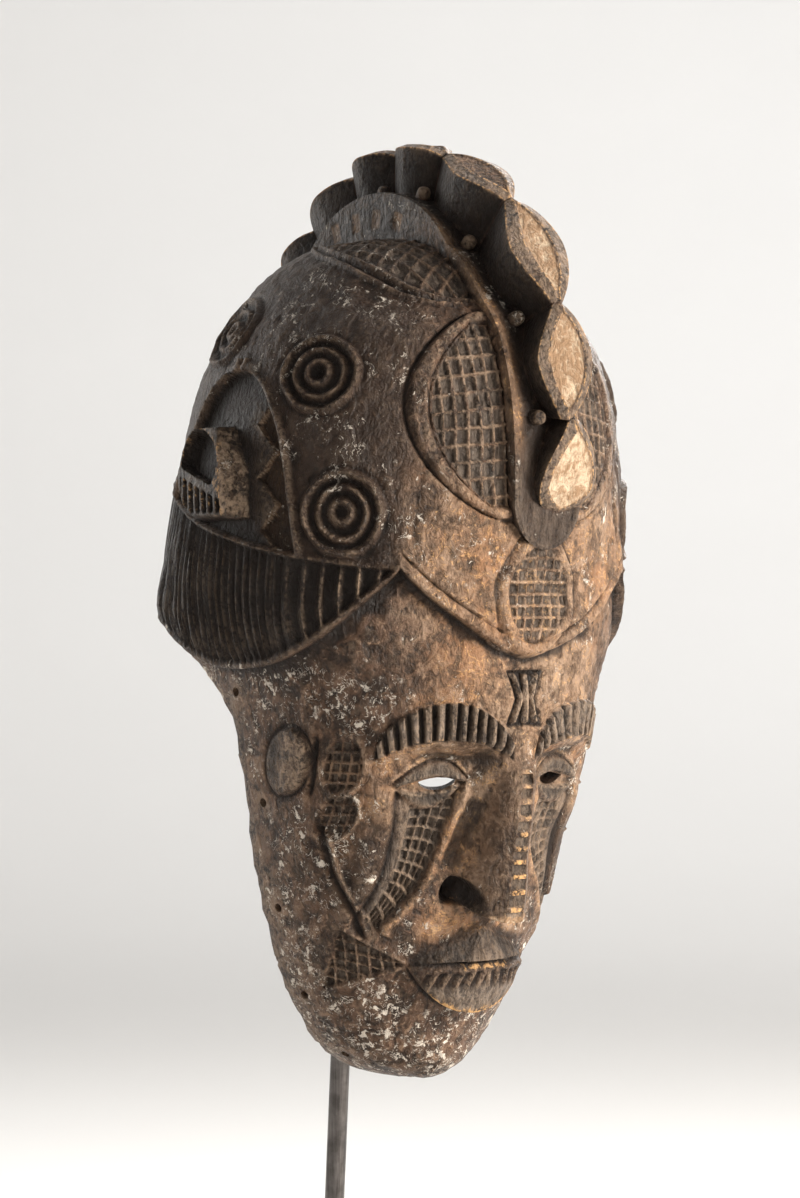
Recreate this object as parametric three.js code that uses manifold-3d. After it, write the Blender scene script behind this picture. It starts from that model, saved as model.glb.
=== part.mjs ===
// A carved wooden helmet mask with a lobed crest, held up by a steel rod on a flat steel foot.
//
// Millimetres, +Z up. The origin is the middle of the foot's underside, and the mask faces -Y.
// The carving is worked out in the mask's own measures: u to the side, w forward and z above
// the chin. A place on the skin is an angle round the head, 0 in front and 180 behind, with a
// height z, or a distance s along the skin from the middle of the face, with a height z.

import * as THREE from 'three';
import { mergeVertices } from 'three/addons/utils/BufferGeometryUtils.js';
import Module from 'manifold-3d';

const wasm = await Module();
wasm.setup();

// Driving dimensions.
const chinHeight = 170;
const wall = 13;
const eye = { s: 47.5, z: 147.5, halfLength: 9.5, halfHeight: 2.6 };
const rimHole = { diameter: 4.5, places: [[112, 216], [88, 192], [84, 139], [83, 88], [80, 45]] };
const crest = { w: 8, z: 334, radius: 128.5, root: 80, halfWidth: 12.5, tipHalfWidth: 1.8, dressed: 3 };
const strap = { halfWidth: 20, height: 3.5, start: -34, end: 200, root: 78, roundEnd: 9 };
const hump = { w: 12, z: 366, radius: 70 };
const peg = { radius: 4, height: 10, sideways: 9 };
const rod = {
  radius: 5, foot: { w: -52.5, z: -162 }, topHeight: 391.5, lean: 0.067, padRadius: 20, padHeight: 9,
};
const foot = { width: 200, depth: 200, thickness: 12, chamfer: 1.5 };
const collar = { radius: 13, topRadius: 11, height: 16, sink: 1 };
const clearance = 0.3;

// Where one crest block ends and the next begins, in degrees round the crest's own centre.
const blockEnds = [-24, -6.6, 19, 48.6, 74, 91.5, 108, 128, 145, 166, 188];

// The head without its carving: at each height z the half width a, the front f,
// the middle c and the back b of the section, all measured along w but a.
const sections = [
  { z: 0, a: 0, f: 14, c: 14, b: 14 },
  { z: 3, a: 17, f: 34, c: 6, b: -14 },
  { z: 10, a: 33, f: 43, c: 2, b: -28 },
  { z: 20, a: 45.5, f: 47.5, c: 0, b: -38 },
  { z: 40, a: 58.5, f: 56.5, c: 0, b: -50 },
  { z: 60, a: 67.5, f: 66.5, c: 0, b: -56 },
  { z: 80, a: 74, f: 75, c: 0, b: -62 },
  { z: 100, a: 79, f: 84.5, c: 0, b: -66 },
  { z: 120, a: 83, f: 92, c: 0, b: -70 },
  { z: 140, a: 86, f: 101, c: 0, b: -73 },
  { z: 160, a: 89.5, f: 106, c: 0, b: -76 },
  { z: 182, a: 94, f: 109.5, c: 0, b: -80 },
  { z: 200, a: 99.5, f: 110.5, c: 0, b: -90 },
  { z: 216, a: 108, f: 111, c: 0, b: -104 },
  { z: 235, a: 114, f: 112, c: -1, b: -114 },
  { z: 262, a: 114, f: 115.5, c: 2, b: -112 },
  { z: 285, a: 112, f: 117, c: 5, b: -107 },
  { z: 310, a: 108, f: 116.5, c: 8.5, b: -99 },
  { z: 335, a: 103, f: 113, c: 10, b: -92 },
  { z: 360, a: 93.5, f: 105, c: 11.5, b: -82 },
  { z: 380, a: 80, f: 89.5, c: 9.5, b: -70.5 },
  { z: 396, a: 66, f: 77, c: 11, b: -55 },
  { z: 407, a: 48, f: 59, c: 11, b: -37 },
  { z: 412, a: 25, f: 36, c: 11, b: -14 },
  { z: 413, a: 0, f: 11, c: 11, b: 11 },
];

// Small helpers.
const clamp = (x, low, high) => Math.min(high, Math.max(low, x));
const radians = THREE.MathUtils.degToRad;
const degrees = THREE.MathUtils.radToDeg;

// 0 below -softness, 1 above +softness, and a smooth rise between.
function rise(x, softness) {
  const k = clamp(x / (2 * softness) + 0.5, 0, 1);
  return k * k * (3 - 2 * k);
}

// 1 on a line and 0 at a half width away from it.
function ridge(distance, halfWidth) {
  const k = clamp(1 - Math.abs(distance) / halfWidth, 0, 1);
  return k * k * (3 - 2 * k);
}

// The sections are joined by a smooth curve whose parameter is the distance along the front.
const sectionKeys = ['z', 'a', 'f', 'c', 'b'];
const along = [0];
for (let i = 1; i < sections.length; i++) {
  const previous = sections[i - 1];
  const here = sections[i];
  along.push(along[i - 1] + Math.hypot(here.z - previous.z, here.a - previous.a, here.f - previous.f));
}
const fullLength = along[along.length - 1];

function slopeAt(i, key) {
  const last = sections.length - 1;
  const low = Math.max(i - 1, 0);
  const high = Math.min(i + 1, last);
  // The chin and the crown are level, though the head's width still grows or shrinks there.
  const level = (i === 0 || i === last) && (key === 'z' || key === 'c');
  return level ? 0 : (sections[high][key] - sections[low][key]) / (along[high] - along[low]);
}

function sectionAt(t) {
  let i = 0;
  while (i < sections.length - 2 && t > along[i + 1]) {
    i += 1;
  }
  const step = along[i + 1] - along[i];
  const x = clamp((t - along[i]) / step, 0, 1);
  const result = {};
  for (const key of sectionKeys) {
    const start = sections[i][key];
    const end = sections[i + 1][key];
    const startSlope = slopeAt(i, key) * step;
    const endSlope = slopeAt(i + 1, key) * step;
    result[key] = (2 * x ** 3 - 3 * x ** 2 + 1) * start + (x ** 3 - 2 * x ** 2 + x) * startSlope
      + (3 * x ** 2 - 2 * x ** 3) * end + (x ** 3 - x ** 2) * endSlope;
  }
  return result;
}

// A point of the smooth head, as u, w and z, at an angle in degrees and a distance t.
function skinPoint(angle, t) {
  const { z, a, f, c, b } = sectionAt(t);
  const cosine = Math.cos(radians(angle));
  const reach = cosine > 0 ? f - c : c - b;
  return new THREE.Vector3(a * Math.sin(radians(angle)), c + reach * cosine, z);
}

function skinNormal(angle, t) {
  const small = 0.5;
  const low = clamp(t, small, fullLength - small);
  const turned = skinPoint(angle + small, low).sub(skinPoint(angle - small, low));
  const raised = skinPoint(angle, low + small).sub(skinPoint(angle, low - small));
  return raised.cross(turned).normalize();
}

// The distance t at which the head reaches a height.
function lengthAtHeight(z) {
  let low = 0;
  let high = fullLength;
  for (let i = 0; i < 30; i++) {
    const middle = (low + high) / 2;
    if (sectionAt(middle).z < z) {
      low = middle;
    } else {
      high = middle;
    }
  }
  return low;
}

// How far a place lies inside an oval: 1 in the middle, 0 on the line and less beyond it.
function insideOval(across, upward, oval) {
  return 1 - Math.hypot((across - oval.s) / oval.halfWidth, (upward - oval.z) / oval.halfHeight);
}

// The lower edge of the carved cap: a rounded lobe over the forehead, then the fringe of hair.
const cap = {
  corner: 35.5, lobeFoot: 209, cornerHeight: 41, fringeFoot: 204, fringeMiddle: 82,
  highest: 250, behind: 226,
};
function capEdge(angle) {
  const lobe = cap.lobeFoot + cap.cornerHeight * (angle / cap.corner) ** 1.6;
  const fringe = cap.fringeFoot + 45 * ((angle - cap.fringeMiddle) / (cap.fringeMiddle - cap.corner)) ** 2;
  return angle < cap.corner ? lobe : Math.min(fringe, angle < cap.fringeMiddle ? cap.highest : cap.behind);
}

function fringeTop(angle) {
  return Math.min(cap.highest + 34 * (Math.max(angle - cap.corner, 0) / 75.5) ** 1.7, 292);
}

// The cap stands proud of the face along its lower edge.
function capRelief({ angle, z }) {
  const above = z - capEdge(angle);
  const lip = 3.5 * rise(above, 1.6) * (1 - rise(above - 18, 12));
  const hollow = -1.8 * (1 - rise(above, 1.6)) * (1 - rise(-above - 9, 8));
  const groove = -1.6 * ridge(above - 7, 2.2) * rise(cap.corner - angle, 1);
  return lip + hollow + groove;
}

// Upright reeds of hair, hollow between sharp ridges.
const reed = { pitch: 4.5, depth: 2.6 };
function fringeRelief({ angle, z }) {
  const inside = rise(fringeTop(angle) - z, 1.2) * rise(z - capEdge(angle) - 2, 1.5);
  const across = Math.abs(((angle - cap.corner) / reed.pitch) % 1 - 0.5) * 2;
  const flute = -reed.depth * (1 - across ** 2);
  return rise(angle - cap.corner, 1) * inside * flute;
}

// Raised rings round a boss, one above the other and one behind.
const ring = { radii: [18, 11.5, 4.5], height: 2.6, halfWidth: 3.2, depth: 1.2 };
const ringCentres = [[61, 342], [50.5, 277], [103, 366]].map(
  ([angle, z]) => skinPoint(angle, lengthAtHeight(z)));
function ringRelief({ point }) {
  let height = 0;
  for (const centre of ringCentres) {
    const distance = point.distanceTo(centre);
    for (const radius of ring.radii) {
      height += ring.height * ridge(distance - radius, ring.halfWidth);
    }
    height -= ring.depth * (1 - rise(distance - ring.radii[0], 1.5));
  }
  return height;
}

// The framed panels beside the crest, half a leaf each.
const leaf = { z: 322, halfHeight: 49, width: 41, gap: 2, front: 40, frame: 2.4, depth: 1.2 };
function leafRelief({ point }) {
  const across = Math.max(1 - ((point.z - leaf.z) / leaf.halfHeight) ** 2, 0) ** 0.7;
  if (across === 0) {
    return 0;
  }
  const toBorder = strap.halfWidth + leaf.gap + leaf.width * across - Math.abs(point.x);
  const frame = leaf.frame * ridge(toBorder - 2.5, 3.5);
  const panel = -leaf.depth * rise(toBorder - 6, 1) * rise(across - 0.15, 0.1);
  return rise(point.y - leaf.front, 4) * (frame + panel);
}

// The arched niche over each side, its raised border, and the ear block inside it.
const niche = { angle: 88, foot: 256, peak: 344, halfWidth: 54, depth: 6.5, rib: 6 };
const earBlock = { angle: 94.5, z: 297, halfWidth: 17, halfHeight: 21, height: 9.5, slope: 20 };
const bowl = { s: 0, z: 303, halfWidth: 11, halfHeight: 12, depth: 3.5 };
const plate = { angle: 72, height: 2.4, notchPitch: 24, notchDepth: 6 };
function nicheRelief({ angle, z, radius }) {
  const up = clamp((z - niche.foot) / (niche.peak - niche.foot), 0, 1);
  const half = niche.halfWidth * (1 - up) ** 0.45;
  const across = Math.abs(radians(angle - niche.angle) * radius);
  const base = rise(z - fringeTop(angle) - 2, 1.5);
  const inside = rise(half - across, 1.5) * base;
  const onRib = ridge(half - across + niche.rib / 2, niche.rib / 2 + 1) * base;
  // The ear block is a drum whose forward wall slopes, with a bowl cut in its face.
  const side = radians(angle - earBlock.angle) * radius;
  const drum = insideOval(Math.max(side, 0), z, { ...earBlock, s: 0 });
  const front = rise(side + earBlock.halfWidth + earBlock.slope / 2, earBlock.slope / 2);
  const block = earBlock.height * rise(drum * earBlock.halfWidth, 3) * front
    - bowl.depth * rise(insideOval(side, z, bowl) * 9, 1.5);
  // A plate with a notched edge fills the niche's front part a little less deeply.
  const saw = Math.abs((((z - niche.foot) / plate.notchPitch) % 1) - 0.5) * 2;
  const onPlate = rise(radians(angle - plate.angle) * radius + plate.notchDepth * saw, 0.8);
  const floor = block + plate.height * onPlate - niche.depth;
  return z < niche.peak + niche.rib ? 2 * onRib + inside * floor : 0;
}

// A raised oval frame round a sunken panel, under the crest.
const medallion = { s: 0, z: 239, halfWidth: 22, halfHeight: 28, height: 2.4, frame: 5, depth: 1.2 };
function medallionRelief({ s, z }) {
  const inside = insideOval(s, z, medallion) * medallion.halfWidth;
  return medallion.height * rise(inside, 1.6) - medallion.depth * rise(inside - medallion.frame, 1.2);
}

// Three pinched bars on the forehead.
const bars = { z: 190, halfHeight: 11.5, height: 2.4, halfWidth: 3, waist: 3.5, spread: 6 };
function forehead({ s, z }) {
  const upward = Math.abs(z - bars.z);
  const pinch = bars.waist + bars.spread * (upward / bars.halfHeight) ** 1.5;
  const onBars = Math.max(ridge(s, bars.halfWidth), ridge(s - pinch, bars.halfWidth));
  return bars.height * rise(bars.halfHeight - upward, 1) * onBars;
}

// A brow is a crescent of upright flutes.
const brow = {
  s: 44, halfLength: 37, ends: 161, top: 188, underside: 171, pitch: 5.2, height: 2.6, flute: 1.8,
};
function browRelief({ s, z }) {
  const over = clamp((s - brow.s) / brow.halfLength, -1, 1);
  const upper = brow.ends + (brow.top - brow.ends) * Math.sqrt(1 - over ** 2);
  const lower = brow.ends + (brow.underside - brow.ends) * (1 - over ** 2);
  const inside = rise(upper - z, 1) * rise(z - lower, 1) * rise(1 - Math.abs(over), 0.02);
  const across = Math.abs((((s - brow.s) / brow.pitch) % 1 + 1) % 1 - 0.5) * 2;
  return inside * (brow.height - brow.flute * across ** 2);
}

// The cheeks fall away from the nose, deepest beside it and under the brow.
const cheekPit = { inner: 15, outer: 59, top: 165, foot: 100, depth: 10 };
function cheekHollow({ s, z }) {
  const sideways = rise(s - cheekPit.inner, 11) * (1 - rise(s - cheekPit.outer, 15));
  const upright = rise(cheekPit.top - z, 4) * rise(z - cheekPit.foot, 25);
  return -cheekPit.depth * sideways * upright;
}

// The eye is an almond in a socket under the brow.
const socket = { s: 50, z: 151, halfWidth: 25, halfHeight: 13, depth: 2.5 };
const eyelid = { s: 48.5, z: 147, halfWidth: 18.5, halfHeight: 10, height: 4 };
function eyeRelief({ s, z }) {
  const sunken = rise(insideOval(s, z, socket) * socket.halfHeight, 4);
  const raised = rise(insideOval(s, z, eyelid) * eyelid.halfHeight, 2.5);
  return eyelid.height * raised - socket.depth * sunken;
}

// A sunken band of hatching curves down the cheek from the eye, and narrows as it goes.
const cheekBand = { top: 142, foot: 82, middle: 47.5, halfWidth: 15, narrowing: 8, depth: 2 };
function cheekRelief({ s, z }) {
  const down = clamp((cheekBand.top - z) / (cheekBand.top - cheekBand.foot), 0, 1);
  const middle = cheekBand.middle + 3 * (1 - down) ** 4 + 15 * down ** 2.4;
  const half = cheekBand.halfWidth - cheekBand.narrowing * down;
  const ends = rise(z - cheekBand.foot, 2) * rise(cheekBand.top - 3 - z, 2);
  const inside = rise(half - Math.abs(s - middle), 1);
  const outerGroove = ridge(s - middle - half - 1.5, 3);
  const innerRib = ridge(s - middle + half + 2.5, 3);
  return ends * (1.8 * innerRib - 2.6 * outerGroove - cheekBand.depth * inside);
}

// The nose is a long wedge, cut off flat below.
const nose = { top: 160, tip: 91, height: 21, bridgeHeight: 2, halfWidth: 27, bridgeHalfWidth: 12 };
const nostril = { s: 19, z: 99, halfWidth: 9, halfHeight: 6, depth: 5 };
function noseRelief({ s, z }) {
  const down = clamp((nose.top - z) / (nose.top - nose.tip), 0, 1);
  const half = nose.bridgeHalfWidth + (nose.halfWidth - nose.bridgeHalfWidth) * down;
  const height = nose.bridgeHeight + (nose.height - nose.bridgeHeight) * down;
  const flank = clamp(1.3 * (1 - s / half), 0, 1);
  const body = height * flank * rise(z - nose.tip, 1.6) * rise(nose.top + 4 - z, 5);
  return body - nostril.depth * rise(insideOval(s, z, nostril) * nostril.halfHeight, 2);
}

// Parted lips.
const mouth = { halfWidth: 35, corner: 62, upper: 80, lower: 42, height: 11 };
function mouthRelief({ s, z }) {
  const out = clamp(s / mouth.halfWidth, 0, 1);
  const upper = mouth.corner + (mouth.upper - mouth.corner) * (1 - out ** 2.5);
  const lower = mouth.corner - (mouth.corner - mouth.lower) * (1 - out ** 2);
  const parting = mouth.corner + 4 * (1 - out ** 2);
  const full = mouth.height * (1 - out ** 2) ** 0.7;
  const inside = rise(upper - z, 1.6) * rise(z - lower, 1.6);
  const slope = z > parting ? 0.45 + 0.55 * (upper - z) / Math.max(upper - parting, 1) : 1;
  const gap = -0.42 * ridge(z - parting, 3);
  return full * inside * (slope + gap);
}

// The ear of the face: a raised disc, two ringed lobes before it and a crease below them.
const faceEar = { s: 113, z: 155, halfWidth: 13, halfHeight: 17, height: 2.6 };
const earLobes = [
  { s: 95, z: 158, halfWidth: 9.5, halfHeight: 13 },
  { s: 93, z: 134, halfWidth: 9.5, halfHeight: 12 },
];
const crease = { s: 87, top: 124, foot: 90, height: 1.8 };
function faceEarRelief({ s, z }) {
  let height = faceEar.height * rise(insideOval(s, z, faceEar) * faceEar.halfWidth, 1.5);
  for (const lobe of earLobes) {
    height += crease.height * ridge(insideOval(s, z, lobe) * lobe.halfWidth, 2.5);
  }
  const onCrease = ridge(s - crease.s + 0.5 * (crease.top - z), 2.5);
  return height + crease.height * onCrease * rise(crease.top - z, 2) * rise(z - crease.foot, 3);
}

// A sunken triangle behind the corner of the mouth.
const triangle = { s: 37, z: 62, length: 36, upperSlope: 0.47, lowerSlope: 0.34, depth: 1.6 };
function triangleRelief({ s, z }) {
  const outward = s - triangle.s;
  const upward = z - triangle.z;
  const underTop = rise(triangle.upperSlope * outward - upward, 1);
  const overFoot = rise(triangle.lowerSlope * outward + upward, 1);
  return -triangle.depth * rise(outward, 1) * underTop * overFoot * rise(triangle.length - outward, 1);
}

const carvings = [
  capRelief, fringeRelief, ringRelief, leafRelief, nicheRelief, medallionRelief, forehead, browRelief,
  cheekHollow, eyeRelief, cheekRelief, noseRelief, mouthRelief, faceEarRelief, triangleRelief,
];

function carvedPoint(angle, t) {
  const point = skinPoint(angle, t);
  const { a, f } = sectionAt(t);
  const radius = Math.max((a + f) / 2, 1);
  const place = { angle, z: point.z, point, radius, s: radians(angle) * radius };
  let height = 0;
  for (const carving of carvings) {
    height += carving(place);
  }
  // The poles stay plain, so that every meridian meets there.
  const plain = Math.min(1, t / 15, (fullLength - t) / 15);
  return point.addScaledVector(skinNormal(angle, t), height * plain);
}

// One side of the head is covered by a fine grid, angle across and t up, which is then thinned:
// point after point is drawn into the neighbour that changes the shape least.
const gridCells = { around: 240, upward: 300 };
const keptTriangles = 2900;

function sideGrid() {
  const { around, upward } = gridCells;
  const points = [carvedPoint(0, 0), carvedPoint(0, fullLength)];
  const triangles = [];
  const pointAt = (i, j) => (j === 0 ? 0 : j === upward ? 1 : 2 + (j - 1) * (around + 1) + i);
  for (let j = 1; j < upward; j++) {
    for (let i = 0; i <= around; i++) {
      const point = carvedPoint(180 * i / around, fullLength * j / upward);
      if (i === 0 || i === around) {
        point.x = 0;
      }
      points.push(point);
    }
  }
  for (let j = 0; j < upward; j++) {
    for (let i = 0; i < around; i++) {
      const [p, q, r, s] = [pointAt(i, j), pointAt(i + 1, j), pointAt(i + 1, j + 1), pointAt(i, j + 1)];
      if (p !== q) {
        triangles.push([p, r, q]);
      }
      if (r !== s) {
        triangles.push([p, s, r]);
      }
    }
  }
  return { points, triangles };
}

// The cost of a place is its squared distance from the planes of the faces round a point.
function planeCost(planes, place) {
  const terms = [place.x, place.y, place.z, 1];
  let cost = 0;
  let k = 0;
  for (let m = 0; m < 4; m++) {
    for (let n = m; n < 4; n++) {
      cost += (m === n ? 1 : 2) * planes[k] * terms[m] * terms[n];
      k += 1;
    }
  }
  return cost;
}

// The products of a plane's terms, two by two, added up face by face.
function addPlane(planes, normal, offset, weight) {
  const terms = [normal.x, normal.y, normal.z, offset];
  let k = 0;
  for (let m = 0; m < 4; m++) {
    for (let n = m; n < 4; n++) {
      planes[k] += weight * terms[m] * terms[n];
      k += 1;
    }
  }
}

// A heap of candidates, the cheapest on top.
class Heap {
  constructor() {
    this.items = [];
  }

  push(item) {
    const { items } = this;
    let i = items.push(item) - 1;
    while (i > 0) {
      const parent = (i - 1) >> 1;
      if (items[parent].cost <= items[i].cost) {
        break;
      }
      [items[parent], items[i]] = [items[i], items[parent]];
      i = parent;
    }
  }

  pop() {
    const { items } = this;
    const top = items[0];
    const last = items.pop();
    if (items.length > 0) {
      items[0] = last;
      let i = 0;
      for (;;) {
        let child = 2 * i + 1;
        if (child >= items.length) {
          break;
        }
        if (child + 1 < items.length && items[child + 1].cost < items[child].cost) {
          child += 1;
        }
        if (items[i].cost <= items[child].cost) {
          break;
        }
        [items[i], items[child]] = [items[child], items[i]];
        i = child;
      }
    }
    return top;
  }
}

function thinned({ points, triangles }, keep) {
  const faces = triangles.map((corners) => [...corners]);
  const facesAt = points.map(() => new Set());
  const planesAt = points.map(() => new Float64Array(10));
  const versions = new Uint32Array(points.length);
  const onSeam = points.map((point) => point.x === 0);
  const edge1 = new THREE.Vector3();
  const edge2 = new THREE.Vector3();

  function faceNormal(a, b, c) {
    edge1.subVectors(b, a);
    edge2.subVectors(c, a);
    return new THREE.Vector3().crossVectors(edge1, edge2);
  }

  faces.forEach(([a, b, c], n) => {
    const normal = faceNormal(points[a], points[b], points[c]);
    const area = normal.length();
    normal.divideScalar(area || 1);
    const offset = -normal.dot(points[a]);
    for (const corner of [a, b, c]) {
      facesAt[corner].add(n);
      addPlane(planesAt[corner], normal, offset, area);
      if (onSeam[corner]) {
        // The other side's face is this one's mirror image.
        addPlane(planesAt[corner], new THREE.Vector3(-normal.x, normal.y, normal.z), offset, area);
      }
    }
  });

  function neighbours(v) {
    const found = new Set();
    for (const n of facesAt[v]) {
      faces[n].forEach((corner) => found.add(corner));
    }
    found.delete(v);
    return found;
  }

  // A point can't be drawn away where the skin would pinch or a face would turn over.
  function canMove(v, target, around) {
    let shared = 0;
    for (const other of neighbours(target)) {
      shared += around.has(other) ? 1 : 0;
    }
    if (shared !== (onSeam[v] && onSeam[target] ? 1 : 2)) {
      return false;
    }
    for (const n of facesAt[v]) {
      if (faces[n].includes(target)) {
        continue;
      }
      const before = faces[n].map((corner) => points[corner]);
      const after = faces[n].map((corner) => points[corner === v ? target : corner]);
      const oldNormal = faceNormal(...before).normalize();
      const newNormal = faceNormal(...after);
      const doubleArea = newNormal.length();
      if (doubleArea < 1e-3 || newNormal.dot(oldNormal) < 0.25 * doubleArea) {
        return false;
      }
    }
    return true;
  }

  const heap = new Heap();
  function offer(v) {
    versions[v] += 1;
    if (v < 2) {
      return;
    }
    const around = neighbours(v);
    let best = null;
    for (const target of around) {
      if (onSeam[v] && !(onSeam[target] && alongSeam(v, target))) {
        continue;
      }
      const shape = planeCost(planesAt[v], points[target]) + planeCost(planesAt[target], points[target]);
      const cost = shape + 1e-4 * points[v].distanceToSquared(points[target]);
      if ((best === null || cost < best.cost) && canMove(v, target, around)) {
        best = { cost, v, target, version: versions[v] };
      }
    }
    if (best !== null) {
      heap.push(best);
    }
  }

  function alongSeam(v, target) {
    let shared = 0;
    for (const n of facesAt[v]) {
      shared += faces[n].includes(target) ? 1 : 0;
    }
    return shared === 1;
  }

  points.forEach((point, v) => offer(v));
  let count = faces.length;
  while (count > keep && heap.items.length > 0) {
    const { v, target, version } = heap.pop();
    if (version !== versions[v]) {
      continue;
    }
    for (const n of facesAt[v]) {
      if (faces[n].includes(target)) {
        faces[n].forEach((corner) => corner !== v && facesAt[corner].delete(n));
        faces[n] = null;
        count -= 1;
      } else {
        faces[n][faces[n].indexOf(v)] = target;
        facesAt[target].add(n);
      }
    }
    facesAt[v].clear();
    versions[v] += 1;
    planesAt[v].forEach((value, k) => {
      planesAt[target][k] += value;
    });
    offer(target);
    neighbours(target).forEach(offer);
  }
  return faces.filter((corners) => corners !== null);
}

function indexedGeometry(positions, triangles) {
  const geometry = new THREE.BufferGeometry();
  geometry.setAttribute('position', new THREE.Float32BufferAttribute(positions, 3));
  geometry.setIndex(triangles);
  return geometry;
}

// A closed solid from a geometry; points that coincide are merged.
function solid(geometry) {
  const bare = geometry.clone();
  bare.deleteAttribute('normal');
  bare.deleteAttribute('uv');
  const merged = mergeVertices(bare, 1e-4);
  const kept = [];
  const index = merged.index.array;
  for (let i = 0; i < index.length; i += 3) {
    const [p, q, r] = [index[i], index[i + 1], index[i + 2]];
    if (p !== q && q !== r && r !== p) {
      kept.push(p, q, r);
    }
  }
  return new wasm.Manifold(new wasm.Mesh({
    numProp: 3,
    vertProperties: new Float32Array(merged.attributes.position.array),
    triVerts: new Uint32Array(kept),
  }));
}

function geometryOf(manifold) {
  const mesh = manifold.getMesh();
  const geometry = indexedGeometry(Array.from(mesh.vertProperties), Array.from(mesh.triVerts));
  const flat = geometry.toNonIndexed();
  flat.computeVertexNormals();
  return flat;
}

// Cuts leave slivers. Points are moved to a fine lattice, and faces that fold flat are dropped.
const lattice = 0.02;
function withoutSlivers(manifold) {
  const mesh = manifold.getMesh();
  const placeOf = new Map();
  const positions = [];
  const merged = [];
  for (let v = 0; v < mesh.vertProperties.length; v += 3) {
    const place = [0, 1, 2].map((k) => Math.round(mesh.vertProperties[v + k] / lattice));
    const key = place.join();
    if (!placeOf.has(key)) {
      placeOf.set(key, positions.length / 3);
      positions.push(...place.map((value) => value * lattice));
    }
    merged.push(placeOf.get(key));
  }
  const faces = new Map();
  for (let i = 0; i < mesh.triVerts.length; i += 3) {
    const corners = [0, 1, 2].map((k) => merged[mesh.triVerts[i + k]]);
    if (new Set(corners).size === 3) {
      const key = [...corners].sort((a, b) => a - b).join();
      if (faces.has(key)) {
        faces.delete(key);
      } else {
        faces.set(key, corners);
      }
    }
  }
  return solid(indexedGeometry(positions, [...faces.values()].flat()));
}

// Both sides of the head as one closed skin.
function headSolid() {
  const grid = sideGrid();
  const triangles = thinned(grid, keptTriangles);
  const positions = [];
  const index = [];
  for (const side of [1, -1]) {
    const offset = positions.length / 3;
    for (const point of grid.points) {
      positions.push(side * point.x, point.y, point.z);
    }
    for (const [p, q, r] of triangles) {
      const turned = side > 0 ? [p, q, r] : [p, r, q];
      index.push(...turned.map((vertex) => vertex + offset));
    }
  }
  return solid(indexedGeometry(positions, index));
}

// The hollow follows the smooth head at the wall's thickness.
function hollowSolid() {
  const around = 24;
  const upward = 18;
  const positions = [];
  const index = [];
  for (let j = 0; j <= upward; j++) {
    for (let i = 0; i <= around; i++) {
      const angle = 360 * (i % around) / around;
      const t = fullLength * j / upward;
      const pole = j === 0 || j === upward;
      const normal = pole ? new THREE.Vector3(0, 0, j === 0 ? -1 : 1) : skinNormal(angle, t);
      const point = skinPoint(pole ? 0 : angle, t).addScaledVector(normal, -wall);
      positions.push(point.x, point.y, point.z);
    }
  }
  const row = around + 1;
  for (let j = 0; j < upward; j++) {
    for (let i = 0; i < around; i++) {
      const corner = j * row + i;
      index.push(corner, corner + row, corner + 1);
      index.push(corner + 1, corner + row, corner + row + 1);
    }
  }
  return solid(indexedGeometry(positions, index));
}

// What lies behind the mask's rim, as a side view drawn out across the head.
function behindRim() {
  const outline = new THREE.Shape();
  outline.moveTo(-6, -30);
  outline.lineTo(-6, 174);
  outline.quadraticCurveTo(-9, 188, -24, 198);
  outline.quadraticCurveTo(-38, 212, -60, 218);
  outline.lineTo(-150, 228);
  outline.lineTo(-150, -30);
  const depth = 300;
  const geometry = new THREE.ExtrudeGeometry(outline, { depth, bevelEnabled: false, curveSegments: 5 });
  // The outline's x is w and its y is z, so the drawn-out length becomes u.
  const basis = new THREE.Matrix4().makeBasis(
    new THREE.Vector3(0, 1, 0), new THREE.Vector3(0, 0, 1), new THREE.Vector3(1, 0, 0));
  geometry.applyMatrix4(basis);
  geometry.translate(-depth / 2, 0, 0);
  return solid(geometry);
}

// The distance from the crest's centre to the smooth head, at an angle in the middle plane.
const profile = [];
for (const behind of [0, 180]) {
  const count = 160;
  for (let i = 0; i <= count; i++) {
    const share = behind === 0 ? i / count : 1 - i / count;
    const point = skinPoint(behind, fullLength * share);
    const dw = point.y - crest.w;
    const dz = point.z - crest.z;
    const turned = degrees(Math.atan2(dz, dw));
    profile.push({ angle: turned < -90 ? turned + 360 : turned, distance: Math.hypot(dw, dz) });
  }
}

function headDistance(angle) {
  let i = 1;
  while (i < profile.length - 1 && profile[i].angle < angle) {
    i += 1;
  }
  const [before, after] = [profile[i - 1], profile[i]];
  const share = clamp((angle - before.angle) / Math.max(after.angle - before.angle, 1e-6), 0, 1);
  return before.distance + share * (after.distance - before.distance);
}

// The strap follows the head and swells into a hump over the crown.
function strapDistance(angle) {
  const direction = [Math.cos(radians(angle)), Math.sin(radians(angle))];
  const offset = [hump.w - crest.w, hump.z - crest.z];
  const forward = offset[0] * direction[0] + offset[1] * direction[1];
  const discriminant = forward ** 2 - offset[0] ** 2 - offset[1] ** 2 + hump.radius ** 2;
  const humpDistance = discriminant > 0 ? forward + Math.sqrt(discriminant) : 0;
  return Math.max(headDistance(angle) + strap.height, humpDistance);
}

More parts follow.
